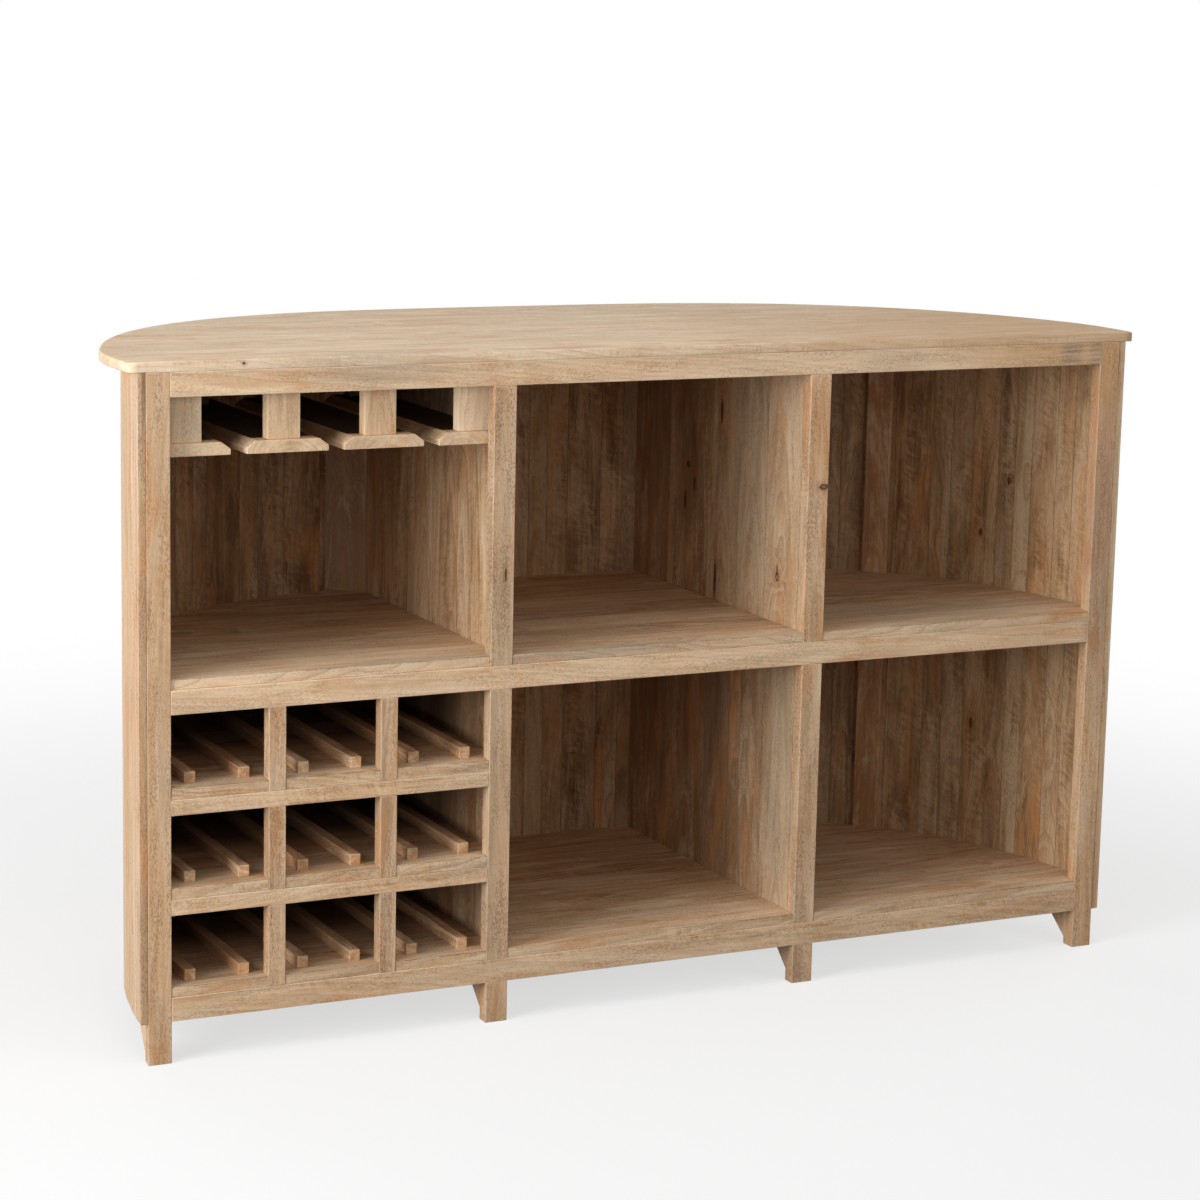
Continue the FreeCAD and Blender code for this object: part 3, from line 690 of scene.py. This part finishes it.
def easeEdges(solid, width):
    # Rounds the arrises and marks them, so that the finish shows wear there.
    bmesh.ops.recalc_face_normals(solid, faces=solid.faces)
    rim = solid.loops.layers.float.get("rimWear") or solid.loops.layers.float.new("rimWear")
    turn = boardMaking["sharpTurn"]
    eased = bmesh.ops.bevel(
        solid,
        geom=[edge for edge in solid.edges if edge.is_manifold and edge.calc_face_angle(0) > turn],
        offset=width,
        offset_type="OFFSET",
        segments=boardMaking["easeSegments"],
        profile=boardMaking["easeProfile"],
        affect="EDGES",
        clamp_overlap=True,
    )
    for face in eased["faces"]:
        face.smooth = True
        for loop in face.loops:
            loop[rim] = 1.0


def markBoard(solid, grain, across, rng, tone, spread, heart=None):
    # Gives the board its own piece of the log: where its heart lies, and its tone.
    look = boardMaking
    through = grain.cross(across)
    middle = middleOf(solid)
    if heart is None:
        heart = (rng.uniform(*look["heartAside"]), rng.choice((-1, 1)) * rng.uniform(*look["heartBelow"]))
    offset = Vector((rng.uniform(*look["startAlong"]), *heart))
    shade = tone[0] + spread * rng.uniform(-1, 1)
    grey = max(0.0, tone[1] + look["greySpread"] * spread * rng.uniform(-1, 1))
    ochre = max(0.0, tone[2] + look["ochreSpread"] * spread * rng.uniform(-1, 1))
    placeLayer = solid.verts.layers.float_vector.new("grainPlace")
    toneLayer = solid.verts.layers.float_vector.new("boardTone")
    for vert in solid.verts:
        gap = vert.co - middle
        vert[placeLayer] = offset + Vector((gap.dot(grain), gap.dot(across), gap.dot(through)))
        vert[toneLayer] = Vector((shade, grey, ochre))


def addTone(solid, change, part):
    # Adds to the board's tone where part is true of the place.
    toneLayer = solid.verts.layers.float_vector["boardTone"]
    for vert in solid.verts:
        if part(vert.co):
            vert[toneLayer] = vert[toneLayer] + Vector(change)


def paintShadeInward(solid, look, part=None):
    # Painted shade: darkens the board from its front to the back, less at its foot than
    # above, for the shade deep in the bays and the rack.
    low, high = reachOf(solid, alongZ)
    toneLayer = solid.verts.layers.float_vector["boardTone"]
    for vert in solid.verts:
        if part is None or part(vert.co):
            share = min(1.0, max(0.0, (vert.co.y - look["start"]) / look["reach"]))
            lift = (vert.co.z - low) / (high - low)
            share *= look["foot"] + (1 - look["foot"]) * lift
            vert[toneLayer] = vert[toneLayer] - Vector((look["depth"] * share, 0, 0))


def finishPiece(name, solids, nodes, slot):
    # Joins the boards of a piece, and gives it its body, slot and finish.
    whole = bmesh.new()
    for solid in solids:
        passing = bpy.data.meshes.new("passing")
        solid.to_mesh(passing)
        whole.from_mesh(passing)
        bpy.data.meshes.remove(passing)
        solid.free()
    mesh = bpy.data.meshes.new(name)
    whole.to_mesh(mesh)
    whole.free()
    mesh.materials.append(materials[slot])
    piece = addObject(name, mesh)
    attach(piece, "root")
    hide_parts(*nodes)
    return piece


# Frame: posts, rails, stiles and feet, one straight board each

frameMembers = {
    "ease": 0.0012,
    "spread": 0.10,
    "heartAside": (0.035, 0.08),
    "heartBelow": (0.01, 0.05),
    # Painted shade on the left side faces of the stiles and rack posts, which face into the bays.
    "sidePaintedShade": (-0.68, 0.30, 0.0),
}
frameTones = {
    "left_post": (0.10, 0.25, 0.25),
    "right_post": (-0.10, 0.14, 0.38),
    "left_stile_upper": (0.32, 0.28, 0.0),
    "left_stile_lower": (0.48, 0.18, 0.05),
    "right_stile_upper": (0.10, 0.10, 0.35),
    "right_stile_lower": (0.32, 0.12, 0.13),
    "top_rail": (0.68, 0.0, 0.0),
    "middle_rail": (0.44, 0.0, 0.05),
    "bottom_rail": (-0.05, 0.05, 0.08),
    "rack": (-0.35, 0.05, 0.10),
}


def makeFrame():
    look = frameMembers
    for node in nodesIn("limed_frame"):
        rng = random.Random("frame " + node)
        grain, across = (alongX, alongZ) if "rail" in node else (alongZ, alongX)
        isRackPost = node.startswith("rack_post")
        tone = frameTones.get("rack" if isRackPost else node, (0, 0, 0))
        solids = cadSolids(node)
        for solid in solids:
            aside = rng.choice((-1, 1)) * rng.uniform(*look["heartAside"])
            heart = (aside, rng.uniform(*look["heartBelow"]))
            markBoard(solid, grain, across, rng, tone, look["spread"], heart)
            # Painted shade on the left side faces, which face into the bays.
            if "stile" in node or isRackPost:
                side = reachOf(solid, alongX)[0] + hair
                addTone(solid, look["sidePaintedShade"], lambda spot: spot.x < side)
            easeEdges(solid, look["ease"])
        finishPiece(node + "_board", solids, [node], "limed_frame")
    print("frame ready")


# Boards and dividers: glued up from planks

# Each plank: its back edge, then its shade, grey and ochre, from the front to the wall.
# The shades that fall toward the wall are partly the planks' own tone and partly painted
# shade deeper in the bays.
boardPlanks = {
    "ease": 0.0007,
    "spread": 0.07,
    "rackBay": -0.28,
    "lipDepth": 0.004,
    # Painted highlight on the lit front edge of the middle boards.
    "lipPaintedHighlight": (0.45, -0.05, 0.08),
    # Painted shade deep in the rack.
    "rackPaintedShade": {"start": -0.300, "reach": 0.24, "depth": 1.9, "foot": 1.0},
    "middle_board_left": [
        (-0.240, 0.60, 0.10, 0.05),
        (-0.140, 0.44, 0.24, 0.00),
        (-0.020, 0.26, 0.20, 0.00),
        (0.090, 0.10, 0.24, 0.00),
        (0.180, -0.16, 0.22, 0.00),
        (0.400, -0.35, 0.22, 0.00),
    ],
    "middle_board_centre": [
        (-0.262, 0.42, 0.30, 0.00),
        (-0.172, -0.22, 0.20, 0.00),
        (-0.085, 0.42, 0.15, 0.00),
        (0.000, -0.20, 0.15, 0.00),
        (0.100, 0.38, 0.00, 0.10),
        (0.190, 0.10, 0.00, 0.12),
        (0.400, -0.08, 0.00, 0.12),
    ],
    "middle_board_right": [
        (-0.250, 0.40, 0.10, 0.10),
        (-0.130, 0.22, 0.24, 0.00),
        (-0.020, -0.08, 0.15, 0.00),
        (0.090, 0.32, 0.10, 0.05),
        (0.400, 0.24, 0.13, 0.00),
    ],
    "others": [
        (-0.250, 0.20, 0.15, 0.00),
        (-0.170, 0.05, 0.15, 0.00),
        (-0.070, -0.05, 0.10, 0.05),
        (0.010, 0.10, 0.05, 0.00),
        (0.100, -0.15, 0.00, 0.15),
        (0.190, 0.05, 0.00, 0.20),
        (0.400, -0.10, 0.00, 0.30),
    ],
}
dividerPlanks = {
    "ease": 0.0006,
    "spread": 0.07,
    # Painted shade, growing toward the back and upward, and deeper in the rack.
    "dim": {"start": -0.280, "reach": 0.30, "depth": 0.60, "foot": 0.0},
    "rackPaintedShade": {"start": -0.310, "reach": 0.20, "depth": 1.7, "foot": 0.7},
    "right_divider_upper": [
        (-0.200, 0.30, 0.35, 0.00),
        (-0.100, 0.12, 0.40, 0.00),
        (0.010, -0.02, 0.25, 0.10),
        (0.160, -0.42, 0.00, 0.33),
        (0.400, -0.90, 0.00, 0.18),
    ],
    "right_divider_lower": [
        (-0.210, 0.10, 0.35, 0.00),
        (-0.130, -0.45, 0.30, 0.00),
        (-0.090, -0.78, 0.10, 0.36),
        (0.000, -0.98, 0.18, 0.05),
        (0.100, -0.72, 0.05, 0.12),
        (0.400, -0.85, 0.00, 0.15),
    ],
    "others": [
        (-0.240, 0.15, 0.20, 0.05),
        (-0.150, 0.00, 0.15, 0.15),
        (-0.050, -0.10, 0.10, 0.20),
        (0.060, 0.05, 0.05, 0.20),
        (0.170, -0.25, 0.00, 0.20),
        (0.400, -0.45, 0.00, 0.20),
    ],
}


def makePanels():
    for node in nodesIn("limed_boards", "limed_dividers"):
        slot = slotOf(node)
        isBoard = slot == "limed_boards"
        isMiddle = node.startswith("middle_board")
        inRack = node.startswith("rack") or node in ("bottom_board", "left_divider_lower")
        look = boardPlanks if isBoard else dividerPlanks
        rows = look.get(node, look["others"])
        rng = random.Random("panel " + node)
        solids = []
        for solid in cadSolids(node):
            # Added edges, where the painted shade starts beside the rack and the painted highlight
            # at a front edge.
            if node == "bottom_board":
                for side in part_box("left_divider_lower"):
                    cutAt(solid, side, alongX)
            lip = reachOf(solid, alongY)[0] + boardPlanks["lipDepth"]
            if isMiddle:
                cutAt(solid, alongY * lip, alongY)
            planks = cutPlanks(solid, alongY, [row[0] for row in rows])
            for plank, row in zip(planks, rows):
                markBoard(plank, alongX if isBoard else alongZ, alongY, rng, row[1:], look["spread"])
                if isMiddle:
                    # Painted highlight on the front edge.
                    addTone(plank, look["lipPaintedHighlight"], lambda spot: spot.y < lip - hair)
                # Painted shade toward the back of the dividers, and deep in the rack.
                if not isBoard:
                    paintShadeInward(plank, look["dim"])
                if inRack:
                    paintShadeInward(plank, look["rackPaintedShade"], lambda spot: spot.x < boardPlanks["rackBay"])
                easeEdges(plank, look["ease"])
            solids += planks
            solid.free()
        finishPiece(node + "_planks", solids, [node], slot)
    print("boards and dividers ready")


# Small inner pieces: battens, slats, hangers and strips

innerPieces = {
    "ease": 0.0011,
    "spread": 0.14,
    "tones": {
        # The end blocks' high shades are painted light, where the posts shade them.
        "stemware_hangers_front": [(1.05, 0.0, 0.0), (0.10, 0.0, 0.20), (0.0, 0.0, 0.15), (1.2, 0.0, 0.0)],
        "stemware_slat_left": [(0.20, 0.0, 0.0)],
        "stemware_slat_middle_left": [(0.25, 0.0, 0.0)],
        "stemware_slat_middle_right": [(0.25, 0.0, 0.0)],
        "stemware_slat_right": [(0.30, 0.0, 0.0)],
        # Painted shade: the rear hangers and the corner strip turn near-black, deep in the bay.
        "stemware_hangers_rear": [(-1.8, 0.0, 0.1)] * 4,
        "corner_strip": [(-1.35, 0.05, 0.1)],
        "wall_batten_upper": [(-0.75, 0.05, 0.1)],
        "wall_batten_lower": [(-0.75, 0.05, 0.1)],
    },
    "battenTone": (-0.80, 0.0, 0.15),
    "battenCut": -0.20,
    # Painted shade deep in the rack and along the slats.
    "battenPaintedShade": {"start": -0.270, "reach": 0.26, "depth": 1.6, "foot": 1.0},
    "slatCuts": (-0.285, -0.235),
    "slatPaintedShade": {"start": -0.285, "reach": 0.05, "depth": 1.7, "foot": 1.0},
    # Painted shade: the upper faces of the slats behind their front ends turn near-black,
    # for the dark under the top.
    "paintedShadeInset": 0.003,
    "paintedShadeTone": (-2.2, 0.0, 0.1),
}


def upperFacesForShade(slat):
    # The slat's upper faces behind its front end, each set in a little from its edges, that
    # take the painted shade.
    for spot in innerPieces["slatCuts"]:
        cutAt(slat, alongY * spot, alongY)
    slat.normal_update()
    front = innerPieces["slatCuts"][0]
    upper = [face for face in slat.faces if face.normal.z > 0.9 and face.calc_center_median().y > front]
    bmesh.ops.inset_region(slat, faces=upper, thickness=innerPieces["paintedShadeInset"], use_even_offset=True)
    return upper


def makeInnerPieces():
    look = innerPieces
    for node in nodesIn("limed_inner_pieces"):
        rng = random.Random("inner " + node)
        isSlat, isBatten = "slat" in node, "bottle_battens" in node
        grain, across = (alongY, alongX) if isSlat or isBatten else (alongZ, alongX)
        solids = sorted(cadSolids(node), key=lambda solid: reachOf(solid, alongX)[0])
        tones = [look["battenTone"]] * len(solids) if isBatten else look["tones"][node]
        for solid, tone in zip(solids, tones):
            if isBatten:
                cutAt(solid, alongY * look["battenCut"], alongY)
            upper = upperFacesForShade(solid) if isSlat else []
            markBoard(solid, grain, across, rng, tone, look["spread"])
            toneLayer = solid.verts.layers.float_vector["boardTone"]
            # Painted shade on the slats' upper faces.
            for vert in {vert for face in upper for vert in face.verts}:
                vert[toneLayer] = Vector(look["paintedShadeTone"])
            # Painted shade deep in the rack and along the slats.
            if isBatten:
                paintShadeInward(solid, look["battenPaintedShade"])
            if isSlat:
                paintShadeInward(solid, look["slatPaintedShade"])
            easeEdges(solid, look["ease"])
        finishPiece(node + "_wood", solids, [node], "limed_inner_pieces")
    print("inner pieces ready")


# Wall: upright staves

# The tones are those of the staves that the bays show, counted from the left end. Their
# darker tones are partly the staves' own and partly painted shade inside the bays, and
# the outer faces are lifted paler than the inner ones.
wallStaves = {
    "ease": 0.0007,
    "spread": 0.30,
    "splitOver": 0.074,
    "splitShare": (0.45, 0.55),
    "outerLift": (1.45, 0.10, 0.55),
    "others": (-0.45, 0.05, 0.05),
    "tones": {
        0: (-0.42, 0.28, 0.40),
        17: (-0.35, 0.10, 0.05),
        18: (0.20, 0.15, 0.05),
        19: (0.10, 0.15, 0.05),
        20: (-0.45, 0.05, 0.10),
        21: (-0.55, 0.00, 0.10),
        27: (-0.05, 0.20, 0.05),
        28: (-0.30, 0.00, 0.35),
        29: (0.10, 0.00, 0.40),
        30: (-0.20, 0.15, 0.05),
        31: (0.15, 0.00, 0.25),
        32: (0.10, 0.20, 0.05),
        33: (0.10, 0.00, 0.30),
        34: (0.00, 0.10, 0.10),
        35: (-0.05, 0.10, 0.10),
    },
}


def stavePlans(node):
    # The plan corners of each stave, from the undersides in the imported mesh.
    low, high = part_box(node)
    under = bmesh.new()
    under.from_mesh(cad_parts[node].data)
    lifted = [face for face in under.faces if max(vert.co.z for vert in face.verts) > low.z + hair]
    bmesh.ops.delete(under, geom=lifted, context="FACES")
    bmesh.ops.dissolve_limit(under, angle_limit=flatTurn, verts=under.verts, edges=under.edges)
    plans = [[vert.co.copy() for vert in face.verts] for face in under.faces]
    under.free()
    plans.sort(key=lambda plan: sum(spot.x for spot in plan) / len(plan))
    return plans, low.z, high.z


def makeStave(plan, bottom, top):
    stave = bmesh.new()
    lower = [stave.verts.new((spot.x, spot.y, bottom)) for spot in plan]
    upper = [stave.verts.new((spot.x, spot.y, top)) for spot in plan]
    stave.faces.new(lower)
    stave.faces.new(upper[::-1])
    for k in range(len(plan)):
        j = (k + 1) % len(plan)
        stave.faces.new((lower[k], upper[k], upper[j], lower[j]))
    return stave


def makeWall():
    look = wallStaves
    count = 0
    for node in nodesIn("limed_wall"):
        plans, bottom, top = stavePlans(node)
        rng = random.Random("wall " + node)
        staves = []
        for plan in plans:
            sides = [end - start for start, end in zip(plan, plan[1:] + plan[:1])]
            run = max(sides, key=lambda side: side.length)
            across = run.normalized() if run.x > 0 else -run.normalized()
            outward = alongZ.cross(across)
            stave = makeStave(plan, bottom, top)
            low, high = reachOf(stave, across)
            isWide = run.length > look["splitOver"]
            cuts = [low + (high - low) * rng.uniform(*look["splitShare"])] if isWide else []
            tone = look["tones"].get(count, look["others"])
            for part in cutPlanks(stave, across, cuts):
                markBoard(part, alongZ, across, rng, tone, look["spread"])
                middle = sum(reachOf(part, outward)) / 2
                # The outer faces are lifted clear of the painted shade of the inner faces.
                addTone(part, look["outerLift"], lambda spot: spot.dot(outward) > middle)
                easeEdges(part, look["ease"])
                staves.append(part)
            stave.free()
            count += 1
        finishPiece(node + "_boards", staves, [node], "limed_wall")
    print("wall ready:", count, "staves")


# Top: planks with a rounded rim that follows the bow

topPlanks = {
    "width": 0.11,
    "widthRange": (0.75, 1.25),
    "lastWidth": 1.2,
    "spread": 0.08,
    "tone": (0.0, 0.04, 0.04),
    "frontTone": (0.10, 0.0, 0.12),
    "rimSegments": 4,
    "serviceRadius": 0.0016,
    "bowRadius": 0.0036,
    "waviness": 0.0006,
    "wavesPerMetre": 11,
    "step": 0.012,
    "cornerTurn": 0.3,
    "cornerLimit": 0.4,
    "rimWear": 0.4,
}


def topOutline():
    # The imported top's outline at half its height, and the heights of its two faces.
    low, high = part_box("top")
    middle = (low.z + high.z) / 2
    cut = bmesh.new()
    cut.from_mesh(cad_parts["top"].data)
    bmesh.ops.remove_doubles(cut, verts=cut.verts, dist=weldGap)
    nextTo = {}
    for edge in cutAt(cut, alongZ * middle, alongZ):
        for vert in edge.verts:
            nextTo.setdefault(vert, []).append(edge.other_vert(vert))
    start = min(nextTo, key=lambda vert: (round(vert.co.y, 4), vert.co.x))
    loop, before, here = [start], None, start
    while True:
        options = [vert for vert in nextTo[here] if vert is not before]
        if before is None:
            options.sort(key=lambda vert: -vert.co.x)
        before, here = here, options[0]
        if here is start:
            break
        loop.append(here)
    spots = [Vector((vert.co.x, vert.co.y)) for vert in loop]
    cut.free()
    return spots, low.z, high.z


def evenLine(spots, step):
    # Points along a closed line, a step apart, that keep its sharp corners.
    count = len(spots)
    corners = []
    for k in range(count):
        before, after = spots[k] - spots[k - 1], spots[(k + 1) % count] - spots[k]
        if before.angle(after, 0) > topPlanks["cornerTurn"]:
            corners.append(k)
    even = []
    for start, end in zip(corners, corners[1:] + [corners[0] + count]):
        run = [spots[k % count] for k in range(start, end + 1)]
        lengths = [0.0]
        for first, second in zip(run, run[1:]):
            lengths.append(lengths[-1] + (second - first).length)
        pieces = max(1, round(lengths[-1] / step))
        index = 0
        for k in range(pieces):
            goal = lengths[-1] * k / pieces
            while lengths[index + 1] < goal:
                index += 1
            part = (goal - lengths[index]) / (lengths[index + 1] - lengths[index])
            even.append(run[index].lerp(run[index + 1], part))
    return even


def inwardSides(line):
    # At each point of the outline, the way into the slab, longer at a corner.
    count = len(line)
    turning = 1 if sum(line[k - 1].cross(line[k]) for k in range(count)) > 0 else -1
    inward = []
    for k in range(count):
        sides = []
        for run in (line[k] - line[k - 1], line[(k + 1) % count] - line[k]):
            sides.append(turning * Vector((-run.y, run.x)).normalized())
        side = (sides[0] + sides[1]).normalized()
        inward.append(side / max(topPlanks["cornerLimit"], side.dot(sides[0])))
    return inward


def rimRadii(line):
    # How much the rim is rounded: least along the service side, and nowhere quite even.
    look = topPlanks
    service = min(spot.y for spot in line) + 0.001
    waves = look["wavesPerMetre"]
    radii = []
    for spot in line:
        radius = look["serviceRadius"] if spot.y < service else look["bowRadius"]
        radii.append(radius + look["waviness"] * noise.noise(Vector((spot.x * waves, spot.y * waves, 0))))
    return radii


def makeSlab(line, bottom, top):
    slab = bmesh.new()
    inward, radii = inwardSides(line), rimRadii(line)
    steps = topPlanks["rimSegments"]
    rings = []
    for isUnder in (True, False):
        for m in range(steps + 1):
            turn = math.pi / 2 * m / steps
            ring = []
            for spot, side, radius in zip(line, inward, radii):
                if isUnder:
                    inset, height = radius * (1 - math.sin(turn)), bottom + radius * (1 - math.cos(turn))
                else:
                    inset, height = radius * (1 - math.cos(turn)), top - radius * (1 - math.sin(turn))
                ring.append(slab.verts.new((spot.x + side.x * inset, spot.y + side.y * inset, height)))
            rings.append(ring)
    for lower, upper in zip(rings, rings[1:]):
        for k in range(len(line)):
            j = (k + 1) % len(line)
            slab.faces.new((lower[k], lower[j], upper[j], upper[k])).smooth = True
    slab.faces.new(rings[0][::-1])
    slab.faces.new(rings[-1])
    return slab


def topCuts(low, high, rng):
    width = topPlanks["width"]
    cuts = []
    spot = low
    while spot < high - width * topPlanks["lastWidth"]:
        spot += width * rng.uniform(*topPlanks["widthRange"])
        cuts.append(spot)
    return cuts


def makeTop():
    look = topPlanks
    spots, bottom, top = topOutline()
    slab = makeSlab(evenLine(spots, look["step"]), bottom, top)
    rng = random.Random("top")
    planks = cutPlanks(slab, alongY, topCuts(*reachOf(slab, alongY), rng))
    for plank in planks:
        bmesh.ops.recalc_face_normals(plank, faces=plank.faces)
        tone = look["frontTone"] if plank is planks[0] else look["tone"]
        markBoard(plank, alongX, alongY, rng, tone, look["spread"])
        for edge in plank.edges:
            # The flat seams between planks stay sharp beside the smooth rim.
            if any(not face.smooth and abs(face.normal.z) < 0.5 for face in edge.link_faces):
                edge.smooth = False
        rim = plank.loops.layers.float.new("rimWear")
        for face in plank.faces:
            for loop in face.loops:
                loop[rim] = look["rimWear"] if face.smooth else 0.0
    slab.free()
    finishPiece("top_planks", planks, ["top"], "limed_top")
    print("top ready:", len(planks), "planks")


# Floor, light and surroundings

studio = {
    "floorRings": (1.6, 3.0, 6.0, 30.0),
    "floorSides": 48,
    "floorBounce": 0.25,
    "floorShade": 0.35,
    "shadeRange": (1.2, 3.2),
    "shadeColour": 0.95,
    "worldLevel": 0.02,
    "aim": (0.0, -0.2, 0.6),
    "lamps": {
        "overhead": {"place": (-0.3, -0.9, 3.4), "aim": (0.0, -0.1, 0.6), "size": (3.2, 2.2), "power": 40},
        "leftSide": {"place": (-3.9, -1.5, 1.5), "size": (1.8, 2.3), "power": 135},
        "leftFront": {"place": (-3.0, -3.2, 1.4), "size": (2.0, 2.0), "power": 23},
        "rightFront": {"place": (2.2, -3.8, 1.7), "size": (2.0, 2.0), "power": 28},
        "front": {"place": (-1.2, -5.0, 2.2), "size": (3.0, 2.0), "power": 18},
        "rear": {"place": (-0.6, 3.9, 1.25), "aim": (0.0, 0.2, 0.6), "size": (3.4, 1.6), "power": 55},
        "rightSide": {"place": (3.8, 1.2, 1.25), "aim": (0.2, 0.1, 0.6), "size": (2.0, 1.6), "power": 45},
    },
}


def seenRays(tree):
    # 1 for the rays that show the backdrop, and 0 for those that light the part.
    rays = put(tree, "LightPath").outputs
    seen = calc(tree, "MAXIMUM", rays["Is Camera Ray"], rays["Is Glossy Ray"])
    return calc(tree, "MAXIMUM", seen, rays["Is Transmission Ray"])


def plainGrey(level):
    return (level, level, level, 1)


def floorMaterial():
    # White to the eye, with the part's shadow near it, and darker in what it throws back.
    material = bpy.data.materials.new("studioFloor")
    material.use_nodes = True
    tree = material.node_tree
    tree.nodes.clear()
    result = tree.nodes.new("ShaderNodeOutputMaterial")
    place = put(tree, "TexCoord").outputs["Object"]
    far = put(tree, "VectorMath", {0: place}, operation="LENGTH").outputs["Value"]
    share = fade(tree, far, *studio["shadeRange"], studio["floorShade"], 0.0)
    white = put(tree, "Emission", {"Color": plainGrey(1), "Strength": 1.0}).outputs[0]
    shaded = put(tree, "BsdfDiffuse", {"Color": plainGrey(studio["shadeColour"])}).outputs[0]
    plain = put(tree, "BsdfDiffuse", {"Color": plainGrey(studio["floorBounce"])}).outputs[0]
    shown = put(tree, "MixShader", {0: share, 1: white, 2: shaded}).outputs[0]
    mixed = put(tree, "MixShader", {0: seenRays(tree), 1: plain, 2: shown}).outputs[0]
    tree.links.new(mixed, result.inputs["Surface"])
    return material


def makeFloor():
    sheet = bmesh.new()
    sides = studio["floorSides"]
    rings = []
    for radius in studio["floorRings"]:
        turns = [math.tau * k / sides for k in range(sides)]
        ring = [sheet.verts.new((radius * math.cos(turn), radius * math.sin(turn), 0)) for turn in turns]
        rings.append(ring)
    sheet.faces.new(rings[0])
    for inner, outer in zip(rings, rings[1:]):
        for k in range(sides):
            j = (k + 1) % sides
            sheet.faces.new((inner[k], outer[k], outer[j], inner[j]))
    mesh = bpy.data.meshes.new("studioFloor")
    sheet.to_mesh(mesh)
    sheet.free()
    mesh.materials.append(floorMaterial())
    floor = addObject("studioFloor", mesh)
    print("floor ready")


def makeLights():
    for name, look in studio["lamps"].items():
        lamp = bpy.data.lights.new(name + "Light", "AREA")
        lamp.shape = "RECTANGLE"
        lamp.size, lamp.size_y = look["size"]
        lamp.energy = look["power"]
        holder = addObject(name + "Light", lamp)
        place = Vector(look["place"])
        holder.visible_camera = False
        holder.visible_glossy = place.y < 0  # the lamps behind the part leave no sheen on its top
        aim = (Vector(look.get("aim", studio["aim"])) - place).to_track_quat("-Z", "Y")
        holder.matrix_world = Matrix.Translation(place) @ aim.to_matrix().to_4x4()
    print("lamps ready:", len(studio["lamps"]))


def makeWorld():
    world = bpy.data.worlds.new("studioWorld")
    scene.world = world
    world.use_nodes = True
    tree = world.node_tree
    tree.nodes.clear()
    given = {0: seenRays(tree), 1: 0.0, 2: 1.0, 3: studio["worldLevel"], 4: 1.0}
    level = put(tree, "MapRange", given).outputs[0]
    sky = put(tree, "Background", {"Color": plainGrey(1), "Strength": level}).outputs[0]
    result = tree.nodes.new("ShaderNodeOutputWorld")
    tree.links.new(sky, result.inputs["Surface"])
    scene.view_settings.view_transform = "Standard"
    print("world ready")


makeCamera()
makeFrame()
makePanels()
makeInnerPieces()
makeWall()
makeTop()
makeFloor()
makeLights()
makeWorld()
